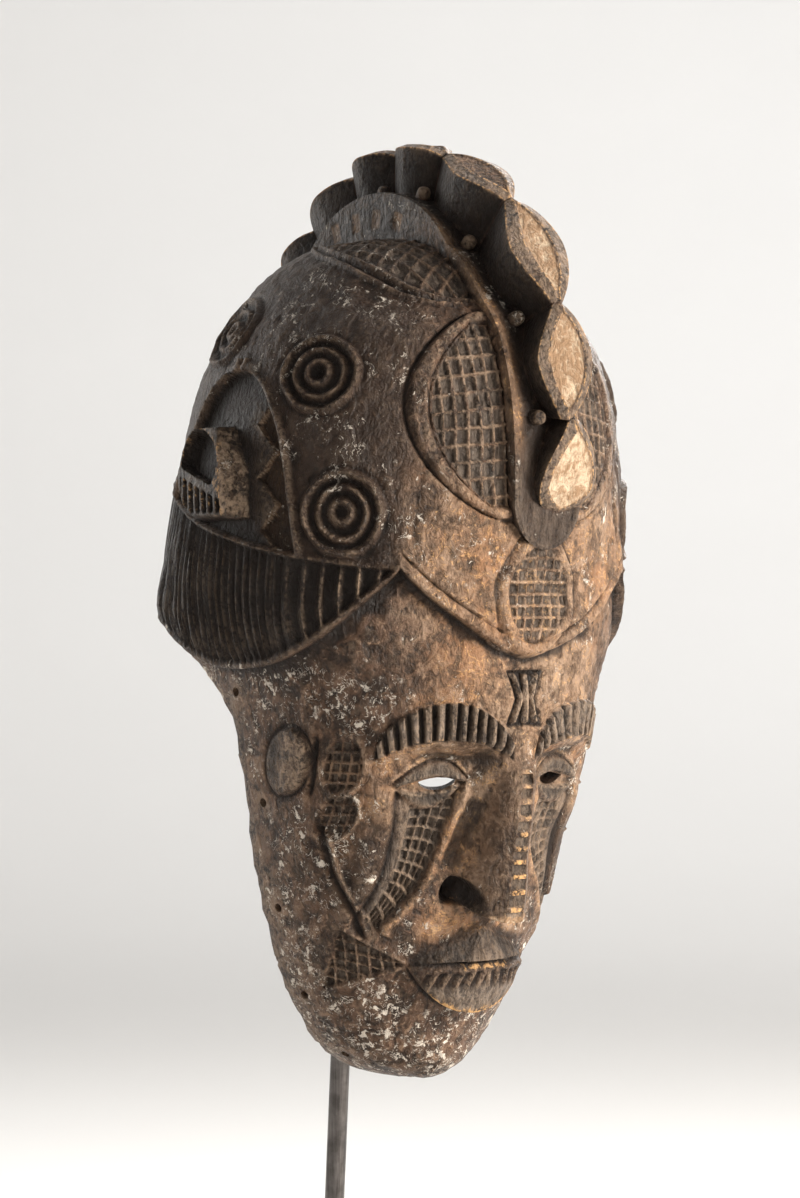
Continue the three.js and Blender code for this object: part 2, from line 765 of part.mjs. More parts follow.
// A solid round the crest's centre, with a width and an outer distance at each angle.
function radialBand({ start, end, steps, crowding, root, width, distance }) {
  const positions = [];
  const index = [];
  for (let i = 0; i <= steps; i++) {
    // The steps are closer together near the ends, which are rounded or pointed.
    const share = i / steps;
    const eased = share - crowding * Math.sin(2 * Math.PI * share) / (2 * Math.PI);
    const angle = start + (end - start) * eased;
    const half = width(angle);
    const cosine = Math.cos(radians(angle));
    const sine = Math.sin(radians(angle));
    for (const [side, reach] of [[-1, root], [1, root], [1, distance(angle)], [-1, distance(angle)]]) {
      positions.push(side * half, crest.w + reach * cosine, crest.z + reach * sine);
    }
  }
  for (let i = 0; i < steps; i++) {
    for (let k = 0; k < 4; k++) {
      const p = 4 * i + k;
      const q = 4 * i + (k + 1) % 4;
      index.push(p, q, p + 4);
      index.push(q, q + 4, p + 4);
    }
  }
  const last = 4 * steps;
  index.push(0, 2, 1, 0, 3, 2);
  index.push(last, last + 1, last + 2, last, last + 2, last + 3);
  return solid(indexedGeometry(positions, index));
}

function strapSolid() {
  function width(angle) {
    const fromEnd = Math.min(angle - strap.start, strap.end - angle) / strap.roundEnd;
    const rounded = Math.sqrt(Math.max(1 - (1 - clamp(fromEnd, 0, 1)) ** 2, 0));
    return Math.max(strap.halfWidth * rounded, 1.5);
  }
  const { start, end, root } = strap;
  return radialBand({ start, end, steps: 44, crowding: 0.75, root, width, distance: strapDistance });
}

// The crest stands a little lower down the back.
function crestDistance(angle) {
  return crest.radius - 0.2 * Math.max(angle - 100, 0);
}

// A block is a lens seen from outside, with upright sides. The lowest one is a drop.
function blockSolid(start, end, isLowest) {
  const length = end - start;
  function width(angle) {
    const x = (angle - start) / length;
    const widest = isLowest ? 0.32 : 0.5;
    const fromWidest = x < widest ? (widest - x) / widest : (x - widest) / (1 - widest);
    const blunt = isLowest && x < widest;
    const shape = blunt ? Math.sqrt(1 - fromWidest ** 2) : 1 - fromWidest ** 1.7;
    return crest.tipHalfWidth + (crest.halfWidth - crest.tipHalfWidth) * shape;
  }
  function distance(angle) {
    const x = (angle - start) / length;
    return crestDistance(angle) - crest.dressed * (2 * x - 1) ** 4;
  }
  return radialBand({ start, end, steps: 8, crowding: 0.3, root: crest.root, width, distance });
}

function pegSolid(angle, side) {
  const base = strapDistance(angle) - 3;
  const geometry = new THREE.CylinderGeometry(peg.radius * 0.7, peg.radius, peg.height, 6);
  geometry.rotateX(radians(angle));
  geometry.translate(0, Math.cos(radians(angle)) * (base + peg.height / 2),
    Math.sin(radians(angle)) * (base + peg.height / 2));
  geometry.translate(side * peg.sideways, crest.w, crest.z);
  return solid(geometry);
}

// Tools that pierce the wall: an almond slit for each eye and the holes along the rim.
function throughWall(geometry, angle, z, side) {
  const t = lengthAtHeight(z);
  const point = skinPoint(angle, t);
  const normal = skinNormal(angle, t);
  const level = new THREE.Vector3().crossVectors(new THREE.Vector3(0, 0, 1), normal).normalize();
  const upright = new THREE.Vector3().crossVectors(normal, level);
  geometry.applyMatrix4(new THREE.Matrix4().makeBasis(level, upright, normal));
  geometry.translate(point.x, point.y, point.z);
  if (side < 0) {
    geometry.scale(-1, 1, 1);
    const index = geometry.index.array;
    for (let i = 0; i < index.length; i += 3) {
      [index[i], index[i + 1]] = [index[i + 1], index[i]];
    }
  }
  return solid(geometry);
}

function eyeSlit(side) {
  const sides = 12;
  const section = sectionAt(lengthAtHeight(eye.z));
  const angle = degrees(eye.s / ((section.a + section.f) / 2));
  const geometry = new THREE.CylinderGeometry(1, 1.5, 3 * wall, sides);
  geometry.rotateX(Math.PI / 2);
  geometry.scale(eye.halfLength, eye.halfHeight, 1);
  return throughWall(geometry, angle, eye.z, side);
}

function rimHoleTool(angle, z, side) {
  const geometry = new THREE.CylinderGeometry(rimHole.diameter / 2, rimHole.diameter / 2, 4 * wall, 8);
  geometry.rotateX(Math.PI / 2);
  return throughWall(geometry, angle, z, side);
}

function maskSolid() {
  let body = headSolid().add(strapSolid());
  for (let i = 0; i < blockEnds.length - 1; i++) {
    body = body.add(blockSolid(blockEnds[i], blockEnds[i + 1], i === 0));
  }
  for (const angle of blockEnds.slice(1, -2)) {
    for (const side of [-1, 1]) {
      body = body.add(pegSolid(angle, side));
    }
  }
  body = body.subtract(hollowSolid()).subtract(behindRim());
  for (const side of [-1, 1]) {
    body = body.subtract(eyeSlit(side));
    for (const [angle, z] of rimHole.places) {
      body = body.subtract(rimHoleTool(angle, z, side));
    }
  }
  return body;
}

// The rod leans forward a little as it rises, and ends in a domed pad under the crown.
const lean = Math.atan(rod.lean);

function rodGeometry() {
  const length = (rod.topHeight - rod.foot.z) / Math.cos(lean);
  const padFoot = length - rod.padHeight;
  const points = [new THREE.Vector2(0, 0), new THREE.Vector2(rod.radius, 0),
    new THREE.Vector2(rod.radius, padFoot - 4), new THREE.Vector2(rod.padRadius, padFoot)];
  const domeSteps = 4;
  for (let i = 1; i <= domeSteps; i++) {
    const x = rod.padRadius * (1 - i / domeSteps);
    points.push(new THREE.Vector2(x, padFoot + 2 + (rod.padHeight - 2) * (1 - (x / rod.padRadius) ** 2)));
  }
  points[points.length - 1].x = 0;
  const geometry = new THREE.LatheGeometry(points, 24);
  // The lathe's axis is y; it is stood up along z and then leaned towards +w.
  geometry.rotateX(Math.PI / 2 - lean);
  geometry.translate(0, rod.foot.w, rod.foot.z);
  return geometry;
}

// A square plate with a collar that takes the rod.
function footGeometry() {
  const { width, depth, thickness, chamfer } = foot;
  const outline = new THREE.Shape();
  const halfX = width / 2 - chamfer;
  const halfY = depth / 2 - chamfer;
  outline.moveTo(-halfX, -halfY);
  outline.lineTo(halfX, -halfY);
  outline.lineTo(halfX, halfY);
  outline.lineTo(-halfX, halfY);
  const plate = new THREE.ExtrudeGeometry(outline, {
    depth: thickness - 2 * chamfer, bevelThickness: chamfer, bevelSize: chamfer, bevelSegments: 1,
  });
  plate.translate(0, 0, chamfer - chinHeight);
  const sleeve = new THREE.CylinderGeometry(collar.topRadius, collar.radius, collar.height, 24);
  sleeve.rotateX(Math.PI / 2);
  const sleeveBase = thickness - chinHeight - collar.sink;
  sleeve.translate(0, rod.foot.w + 1, sleeveBase + collar.height / 2);
  const boreLength = 80;
  const bore = new THREE.CylinderGeometry(rod.radius + clearance, rod.radius + clearance, boreLength, 24);
  bore.translate(0, boreLength / 2 - clearance, 0);
  bore.rotateX(Math.PI / 2 - lean);
  bore.translate(0, rod.foot.w, rod.foot.z);
  return geometryOf(solid(plate).add(solid(sleeve)).subtract(solid(bore)));
}

// Materials, from the photograph.
const wood = new THREE.MeshStandardMaterial({ color: 0x5b4232, roughness: 0.8, metalness: 0 });
const steel = new THREE.MeshStandardMaterial({ color: 0x4a4644, roughness: 0.45, metalness: 0.9 });
const footSteel = new THREE.MeshStandardMaterial({ color: 0x3c3a39, roughness: 0.55, metalness: 0.9 });

// The mask's own measures are turned so that it faces -Y, and lifted by the chin's height.
function named(name, geometry, material) {
  geometry.rotateZ(Math.PI);
  geometry.translate(0, 0, chinHeight);
  const mesh = new THREE.Mesh(geometry, material);
  mesh.name = name;
  return mesh;
}

const group = new THREE.Group();
group.add(named('mask', geometryOf(withoutSlivers(maskSolid())), wood));
group.add(named('stand_rod', rodGeometry(), steel));
group.add(named('stand_foot', footGeometry(), footSteel));

export default group;
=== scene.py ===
import math
import bpy
import numpy as np
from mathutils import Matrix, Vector


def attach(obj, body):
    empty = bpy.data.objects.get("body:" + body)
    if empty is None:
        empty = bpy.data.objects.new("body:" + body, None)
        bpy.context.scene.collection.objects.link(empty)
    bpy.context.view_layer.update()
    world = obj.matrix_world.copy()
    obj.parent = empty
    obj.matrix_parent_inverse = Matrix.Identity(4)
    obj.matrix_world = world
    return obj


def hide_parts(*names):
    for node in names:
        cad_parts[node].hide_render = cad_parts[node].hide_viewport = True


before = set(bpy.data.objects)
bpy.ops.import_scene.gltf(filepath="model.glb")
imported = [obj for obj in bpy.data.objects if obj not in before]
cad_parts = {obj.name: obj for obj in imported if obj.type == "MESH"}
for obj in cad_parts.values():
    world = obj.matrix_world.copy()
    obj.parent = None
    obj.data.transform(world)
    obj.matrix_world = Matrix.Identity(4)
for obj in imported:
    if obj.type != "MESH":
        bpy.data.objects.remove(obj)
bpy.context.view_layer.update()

# A carved helmet mask on its stand. The carving is worked out in millimetres in the mask's
# own measures: u to the side, w forward and z above the chin. A place on the skin is an angle
# round the head, 0 in front and 180 behind, or a distance s along the skin from the middle
# of the face, with a height z.

chinHeight = 170
headShape = {
    "wall": 13,
    "cellSize": 0.8,          # of the fine grid that the carving is cut into
    "carvedTo": 116,          # degrees round the head, with fewer columns of cells behind
    "columnsBehind": 60,
    "keptTriangles": 62000,   # on each side of the head
    "widest": 115.5,          # relief that stands further out is pressed in
    "deepest": 115.0,         # and so is relief that stands further back
    "endsFade": 15,           # relief fades out this near the middle of the chin and of the crown
    # height, half width, front, middle and back of each section of the uncarved head
    "sections": [
        (0, 0, 14, 14, 14), (3, 17, 34, 6, -14), (10, 33, 43, 2, -28), (20, 45.5, 47.5, 0, -38),
        (40, 58.5, 56.5, 0, -50), (60, 67.5, 66.5, 0, -56), (80, 74, 75, 0, -62),
        (100, 79, 84.5, 0, -66), (120, 83, 92, 0, -70), (140, 86, 101, 0, -73),
        (160, 89.5, 106, 0, -76), (182, 94, 109.5, 0, -80), (200, 99.5, 110.5, 0, -90),
        (216, 108, 111, 0, -104), (235, 114, 112, -1, -114), (262, 114, 115.5, 2, -112),
        (285, 112, 117, 5, -107), (310, 108, 116.5, 8.5, -99), (335, 103, 113, 10, -92),
        (360, 93.5, 105, 11.5, -82), (380, 80, 89.5, 9.5, -70.5), (396, 66, 77, 11, -55),
        (407, 48, 59, 11, -37), (412, 25, 36, 11, -14), (413, 0, 11, 11, 11),
    ],
}


# Small helpers, which work on whole arrays. Softness and half widths are in the units of what they act on.
def rise(x, softness):  # 0 below -softness, 1 above it, smooth between
    k = np.clip(x / (2 * softness) + 0.5, 0, 1)
    return k * k * (3 - 2 * k)


def ridge(distance, halfWidth):  # 1 on a line, 0 at a half width from it
    k = np.clip(1 - np.abs(distance) / halfWidth, 0, 1)
    return k * k * (3 - 2 * k)


def offMiddle(x):  # 1 at whole numbers and 0 half way between them
    return np.abs(np.mod(x, 1) - 0.5) * 2


def zigzag(x):  # 0 at whole numbers and 1 half way between them
    return 1 - offMiddle(x)


def insideOval(across, upward, oval):  # 1 in the middle, 0 on the line, less beyond it
    return 1 - np.hypot((across - oval["s"]) / oval["halfWidth"], (upward - oval["z"]) / oval["halfHeight"])


def noiseAt(points, size, seed):  # smooth noise between -1 and 1
    cell = np.floor(points / size).astype(np.int64)
    share = points / size - cell
    share = share * share * (3 - 2 * share)
    total = np.zeros(points.shape[:-1])
    for corner in np.ndindex(2, 2, 2):
        n = cell + corner
        mixed = n[..., 0] * 73856093 ^ n[..., 1] * 19349663 ^ n[..., 2] * 83492791 ^ seed * 26544357
        mixed = (mixed ^ (mixed >> 13)) * 1274126177
        mixed = (mixed ^ (mixed >> 16)) & 0xffff
        weight = np.prod(np.where(corner, share, 1 - share), axis=-1)
        total += weight * mixed / 0xffff
    return 2 * total - 1


def toWorld(points):
    points = np.asarray(points, dtype=float)
    return np.stack([-points[..., 0], -points[..., 1], points[..., 2] + chinHeight], -1) / 1000


def fromWorld(points):
    return np.stack([-points[..., 0], -points[..., 1], points[..., 2] - chinHeight / 1000], -1) * 1000


# Meshes from arrays.
paintNames = ["stain", "pit", "rib", "gold", "warm", "dark", "kaolin", "cream"]


def addValues(mesh, name, values):
    attribute = mesh.attributes.new(name, "FLOAT", "POINT")
    attribute.data.foreach_set("value", np.ascontiguousarray(values, dtype=np.float32))


def noPaint(count):
    return {name: np.zeros(count) for name in paintNames}


def addObject(name, data):
    added = bpy.data.objects.new(name, data)
    bpy.context.scene.collection.objects.link(added)
    return added


def makePiece(name, points, triangles, paint=None):
    mesh = bpy.data.meshes.new(name)
    mesh.vertices.add(len(points))
    mesh.vertices.foreach_set("co", np.ascontiguousarray(points, dtype=np.float32).ravel())
    mesh.loops.add(triangles.size)
    mesh.loops.foreach_set("vertex_index", np.ascontiguousarray(triangles, dtype=np.int32).ravel())
    mesh.polygons.add(len(triangles))
    mesh.polygons.foreach_set("loop_start", np.arange(0, triangles.size, 3, dtype=np.int32))
    mesh.update(calc_edges=True)
    for paintName, values in (paint or noPaint(len(points))).items():
        addValues(mesh, paintName, values)
    return addObject(name, mesh)


def pointsOf(mesh):
    flat = np.empty(3 * len(mesh.vertices), dtype=np.float32)
    mesh.vertices.foreach_get("co", flat)
    return flat.reshape(-1, 3).astype(float)


def edgesOf(mesh):
    flat = np.empty(2 * len(mesh.edges), dtype=np.int32)
    mesh.edges.foreach_get("vertices", flat)
    return flat.reshape(-1, 2)


def trianglesOf(mesh):
    flat = np.empty(3 * len(mesh.polygons), dtype=np.int32)
    mesh.polygons.foreach_get("vertices", flat)
    return flat.reshape(-1, 3)


def valuesOf(mesh, name):
    values = np.empty(len(mesh.vertices), dtype=np.float32)
    mesh.attributes[name].data.foreach_get("value", values)
    return values


def ringStrip(rings, closedEnds=True):  # triangles that join closed rings of points end to end
    count, around = rings.shape[:2]
    start = np.arange(count - 1)[:, None] * around
    here = start + np.arange(around)
    following = start + (np.arange(around) + 1) % around
    first = np.stack([here, following, here + around], -1).reshape(-1, 3)
    second = np.stack([following, following + around, here + around], -1).reshape(-1, 3)
    parts = [first, second]
    if closedEnds:
        fan = np.stack([np.zeros(around - 2), np.arange(2, around), np.arange(1, around - 1)], -1)
        parts += [fan, fan[:, ::-1] + (count - 1) * around]
    return np.concatenate(parts).astype(int)


def ringPiece(name, rings, paint=None):
    return makePiece(name, toWorld(rings.reshape(-1, 3)), ringStrip(rings), paint)


def applied(piece):  # the piece's modifiers become its plain mesh
    evaluated = piece.evaluated_get(bpy.context.evaluated_depsgraph_get())
    mesh = bpy.data.meshes.new_from_object(evaluated)
    piece.modifiers.clear()
    old = piece.data
    piece.data = mesh
    bpy.data.meshes.remove(old)
    return piece


def thinned(piece, keptTriangles):
    modifier = piece.modifiers.new("thin", "DECIMATE")
    modifier.ratio = min(1, keptTriangles / len(piece.data.polygons))
    return applied(piece)


def joined(piece, other, operation):
    modifier = piece.modifiers.new("join", "BOOLEAN")
    modifier.object = other
    modifier.operation = operation
    modifier.solver = "MANIFOLD"
    applied(piece)
    bpy.data.objects.remove(other)
    return piece


def finished(piece, sharpAbove, material):
    mesh = piece.data
    mesh.shade_smooth()
    mesh.set_sharp_from_angle(angle=math.radians(sharpAbove))
    mesh.materials.clear()
    mesh.materials.append(material)
    return piece


# The uncarved head. Its sections are joined by a smooth curve along t, the way up the front.
sections = np.array(headShape["sections"], dtype=float)
along = np.concatenate([[0], np.cumsum(np.linalg.norm(np.diff(sections[:, :3], axis=0), axis=1))])
fullLength = along[-1]
slopes = np.empty_like(sections)
slopes[1:-1] = (sections[2:] - sections[:-2]) / (along[2:] - along[:-2])[:, None]
slopes[0] = (sections[1] - sections[0]) / (along[1] - along[0]) * [0, 1, 1, 0, 1]
slopes[-1] = (sections[-1] - sections[-2]) / (along[-1] - along[-2]) * [0, 1, 1, 0, 1]


def sectionAt(t):
    t = np.clip(t, 0, fullLength)
    i = np.clip(np.searchsorted(along, t, side="right") - 1, 0, len(along) - 2)
    step = (along[i + 1] - along[i])[..., None]
    x = (t - along[i])[..., None] / step
    start = (2 * x**3 - 3 * x**2 + 1) * sections[i] + (x**3 - 2 * x**2 + x) * slopes[i] * step
    end = (3 * x**2 - 2 * x**3) * sections[i + 1] + (x**3 - x**2) * slopes[i + 1] * step
    return np.moveaxis(start + end, -1, 0)


def skinPoint(angle, t):
    z, a, f, c, b = sectionAt(t)
    cosine = np.cos(np.radians(angle))
    reach = np.where(cosine > 0, f - c, c - b)
    return np.stack(np.broadcast_arrays(a * np.sin(np.radians(angle)), c + reach * cosine, z), -1)


def skinNormal(angle, t):
    small = 0.5
    t = np.clip(t, small, fullLength - small)
    turned = skinPoint(angle + small, t) - skinPoint(angle - small, t)
    raised = skinPoint(angle, t + small) - skinPoint(angle, t - small)
    normal = np.cross(raised, turned)
    return normal / np.linalg.norm(normal, axis=-1, keepdims=True)


levels = np.linspace(0, fullLength, 2000)
levelHeights = sectionAt(levels)[0]


def lengthAtHeight(z):
    return np.interp(z, levelHeights, levels)


# Hatching is a net of raised lines over sunken squares. Depth and line are in millimetres.
def cutHatch(carved, inside, across, upward, pitch, line, depth, thinRows=0.9, worn=1):
    columns = (0.5 - np.abs(np.mod(across / pitch[0], 1) - 0.5)) * pitch[0]
    rows = (0.5 - np.abs(np.mod(upward / pitch[1], 1) - 0.5)) * pitch[1]
    toLine = np.minimum(columns, rows * thinRows) - line
    sunken = rise(toLine, 0.45) * inside
    carved["height"] -= depth * sunken
    paintOver(carved, "pit", sunken)
    paintOver(carved, "rib", worn * 0.6 * inside * (1 - rise(toLine, 0.45)))


def paintOver(carved, name, amount):
    carved[name] = np.maximum(carved[name], amount)


def within(place, limits):  # 1 inside the limits, 0 outside them, with soft borders
    inside = 1.0
    for measure, (start, end) in limits.items():
        if start:
            inside = inside * rise(place[measure] - start[0], start[1])
        if end:
            inside = inside * rise(end[0] - place[measure], end[1])
    return inside


# The cap of hair: a lobe over the forehead in front, and a fringe over each side.
cap = {
    "corner": 35.5, "lobeFoot": 209, "cornerHeight": 41, "fringeFoot": 204, "fringeMiddle": 82,
    "fringeRise": 45, "highest": 250, "behind": 226, "lip": 3.5, "lipReach": 18, "shadow": 1.8,
    "groove": 1.6, "grooveAt": 7.5, "fringeTop": 292, "fringeTopRise": 34, "fringeTopAt": 111,
}
# A thin line runs up each side of the lobe.
sideLine = {"angle": 33, "middle": 273, "bow": 18, "foot": 254, "top": 300, "depth": 0.9}
reed = {
    "pitch": 4.5, "depth": 2.9, "closePitch": 2.35, "closeDepth": 1.7, "closeFrom": 62,
    "scratchPitch": 1.1, "scratchDepth": 0.5, "inset": 3.5,
}


def capEdge(angle):
    lobe = cap["lobeFoot"] + cap["cornerHeight"] * (angle / cap["corner"]) ** 1.6
    off = (angle - cap["fringeMiddle"]) / (cap["fringeMiddle"] - cap["corner"])
    highest = np.where(angle < cap["fringeMiddle"], cap["highest"], cap["behind"])
    foot = np.minimum(cap["fringeFoot"] + cap["fringeRise"] * off**2, highest)
    return np.where(angle < cap["corner"], lobe, foot)


def fringeTop(angle):
    share = np.maximum(angle - cap["corner"], 0) / (cap["fringeTopAt"] - cap["corner"])
    return np.minimum(cap["highest"] + cap["fringeTopRise"] * share**1.7, cap["fringeTop"])


def carveCap(place, carved):
    angle, z = place["angle"], place["z"]
    above = z - capEdge(angle)
    front = rise(cap["corner"] - angle, 1)
    lip = cap["lip"] * rise(above, 1.3) * (1 - rise(above - cap["lipReach"], 12))
    shadow = cap["shadow"] * (1 - rise(above, 1.3)) * (1 - rise(-above - 9, 8))
    groove = cap["groove"] * ridge(above - cap["grooveAt"], 1.5) * front
    carved["height"] += lip - shadow - groove + 0.6 * ridge(above - 2.5, 2.5)
    bow = ((z - sideLine["middle"]) / sideLine["bow"]) ** 2
    onLine = ridge(angle - sideLine["angle"] + bow, 1.1)
    onLine = onLine * rise(z - sideLine["foot"], 4) * rise(sideLine["top"] - z, 6)
    carved["height"] -= sideLine["depth"] * onLine
    paintOver(carved, "rib", 0.3 * ridge(above - 2, 2.5))
    # Painted shade: a dark band just under the cap's overhanging edge.
    paintOver(carved, "stain", 0.7 * ridge(above + 1.5, 3.0))
    paintOver(carved, "warm", 0.6 * front * rise(above - 2, 4) * rise(286 - z, 14))
    # The hair is darker than the face, most of all at the sides and behind.
    paintOver(carved, "dark", rise(above, 2) * (0.35 + 0.65 * rise(angle - 30, 10)))


def carveFringe(place, carved):
    angle, z = place["angle"], place["z"]
    top = fringeTop(angle)
    edge = capEdge(angle)
    inside = rise(top - z, 1.0) * rise(z - edge - reed["inset"], 1.2) * rise(angle - cap["corner"], 1)
    behind = rise(angle - reed["closeFrom"], 12)
    wander = 0.5 * noiseAt(place["point"], 30, 3)
    # Broad flutes in front, close ones behind, with scratches over both.
    broad = offMiddle((angle - cap["corner"] + wander) / reed["pitch"])
    close = offMiddle((angle + wander) / reed["closePitch"])
    scratch = zigzag(angle / reed["scratchPitch"] + 0.6 * noiseAt(place["point"] * [1, 1, 0.15], 9, 4))
    broadFlute = reed["depth"] * (1 - broad**2.5)
    closeFlute = reed["closeDepth"] * (1 - close**1.5)
    flute = broadFlute + (closeFlute - broadFlute) * behind + reed["scratchDepth"] * scratch * (0.4 + behind)
    carved["height"] -= inside * flute
    paintOver(carved, "stain", inside * (1 - 0.8 * broad**8 * (1 - behind)))
    paintOver(carved, "rib", inside * (broad**9 * (1 - behind) + 0.14 * close**8 * behind))
    bead = ridge(z - top - 1, 2.2) * rise(angle - cap["corner"], 1)
    carved["height"] += 0.8 * bead
    paintOver(carved, "rib", 0.3 * bead)


# Raised rings round a boss, one above the other and one behind.
ring = {
    "places": [(61, 342), (50.5, 277), (103, 366)],  # angle and height of each set
    "radii": [18, 12, 5.2], "halfWidths": [2.5, 2.4, 2.8], "height": 2.9, "floor": 1.5, "wear": 0.42,
    "wander": 1.6, "unevenness": 0.3, "middleDepth": 1.6, "aroundDepth": 0.6,
}


def carveRings(place, carved):
    for number, (angle, z) in enumerate(ring["places"]):
        centre = skinPoint(np.array(angle), lengthAtHeight(z))
        away = place["point"] - centre
        distance = np.linalg.norm(away, axis=-1) + ring["wander"] * noiseAt(place["point"], 26, 20 + number)
        distance += 0.35 * noiseAt(place["point"], 5, 24 + number)
        uneven = 1 + ring["unevenness"] * noiseAt(place["point"], 9, 28 + number)
        near = rise(ring["radii"][0] - distance, 1.5)
        carved["height"] -= ring["floor"] * near
        for radius, halfWidth in zip(ring["radii"], ring["halfWidths"]):
            onRing = ridge(distance - radius, halfWidth) ** 0.7
            carved["height"] += ring["height"] * onRing * uneven
            paintOver(carved, "rib", ring["wear"] * onRing**3)
        carved["height"] -= ring["middleDepth"] * ridge(distance, 1.6)
        between = near * (1 - np.clip(sum(ridge(distance - r, 3.2) for r in ring["radii"]), 0, 1))
        paintOver(carved, "stain", 0.7 * between)
        carved["height"] -= ring["aroundDepth"] * ridge(distance - ring["radii"][0] - 3.5, 2)


# Framed panels beside the crest: half a leaf in front and another on top.
strap = {
    "halfWidth": 20, "height": 3.5, "start": -34, "end": 200, "root": 78, "roundEnd": 9,
    "bead": 0.6, "steps": 520, "keptTriangles": 17000, "litUpTo": 62, "lowerEnd": -14, "besideCrest": 14,
    "kaolin": 0.25,
}
leaf = {
    "z": 322, "halfHeight": 49, "width": 41, "gap": 2, "front": 40, "frame": (1.2, 7.4), "frameHeight": 1.5,
    "grooveDepth": 1.7, "netFrom": 9.6, "netCorner": (21.5, 279), "pitch": (5.6, 8.2), "netDepth": 1.5,
}
topLeaf = {
    "w": 38, "halfLength": 52, "width": 40, "lowest": 372, "lineHeight": 1.7, "grooveDepth": 1.1,
    "netFrom": 7.5, "slant": 0.3, "pitch": (7.6, 8.0), "netDepth": 1.5,
}


def carveLeaf(place, carved):
    side, z = np.abs(place["u"]), place["z"]
    across = np.maximum(1 - ((z - leaf["z"]) / leaf["halfHeight"]) ** 2, 0) ** 0.7
    toBorder = strap["halfWidth"] + leaf["gap"] + leaf["width"] * across - side
    toBorder = np.minimum(toBorder, (leaf["halfHeight"] - np.abs(z - leaf["z"])) * 1.4)
    front = rise(place["w"] - leaf["front"], 4) * rise(across, 0.01)
    outerGroove = ridge(toBorder + 1, 1.7)
    frameBand = rise(toBorder - leaf["frame"][0], 0.9) * rise(leaf["frame"][1] - toBorder, 0.9)
    innerLine = ridge(toBorder - 8.2, 1.1)
    relief = leaf["frameHeight"] * frameBand - leaf["grooveDepth"] * outerGroove - 0.9 * innerLine
    carved["height"] += front * relief
    paintOver(carved, "stain", front * np.maximum(0.5 * outerGroove, 0.4 * innerLine))
    paintOver(carved, "rib", 0.25 * front * ridge(toBorder - 7, 1.2))
    carved["dark"] *= 1 - 0.6 * front * rise(toBorder - 1, 1)
    inside = front * rise(toBorder - leaf["netFrom"], 0.7)
    wander = 0.8 * noiseAt(place["point"], 14, 5)
    column = side - leaf["netCorner"][0] + wander
    row = z - leaf["netCorner"][1] + 0.12 * side + wander
    cutHatch(carved, inside, column, row, leaf["pitch"], 0.7, leaf["netDepth"])


def carveTopLeaf(place, carved):
    side, w = np.abs(place["u"]), place["w"]
    across = np.sqrt(np.maximum(1 - ((w - topLeaf["w"]) / topLeaf["halfLength"]) ** 2, 0))
    toBorder = strap["halfWidth"] + topLeaf["width"] * across - side
    top = rise(place["z"] - topLeaf["lowest"], 3) * rise(across, 0.01)
    doubleLine = ridge(toBorder, 1.6) + ridge(toBorder - 4.5, 1.6)
    grooves = ridge(toBorder - 2.2, 1.0) + ridge(toBorder - 7, 1.2)
    carved["height"] += top * (topLeaf["lineHeight"] * doubleLine - topLeaf["grooveDepth"] * grooves)
    paintOver(carved, "rib", 0.3 * top * doubleLine)
    inside = top * rise(toBorder - topLeaf["netFrom"], 0.8)
    wander = 1.2 * noiseAt(place["point"], 16, 6)
    column = side + topLeaf["slant"] * w + wander
    row = w - topLeaf["slant"] * side + wander
    cutHatch(carved, inside, column, row, topLeaf["pitch"], 0.8, topLeaf["netDepth"], worn=0.35)


# The arched niche over each side, with the ear block inside it.
niche = {"angle": 88, "foot": 256, "peak": 344, "halfWidth": 54, "depth": 6.5, "rib": 6, "ribHeight": 2.2}
earBlock = {
    "angle": 94.5, "z": 296, "halfWidth": 16, "halfHeight": 21.5, "height": 10.5, "wallFoot": -31.5,
    "lean": 0.28, "facet": 309, "flatWidth": 4.2, "flatStep": 1.3, "topSlope": 3,
}
earFace = {
    "corner": -19.5, "barFoot": 290, "barTop": 294.5, "barSlant": 0.33, "combFoot": 277, "combEnd": 12,
    "toothPitch": 5.2, "slotDepth": 4.5,
}
earBowl = {"s": -3.0, "z": 301, "halfWidth": 15, "halfHeight": 14.5, "depth": 7}
plate = {"edge": -37.5, "height": 3.2, "notchPitch": 25, "notchDepth": 11}


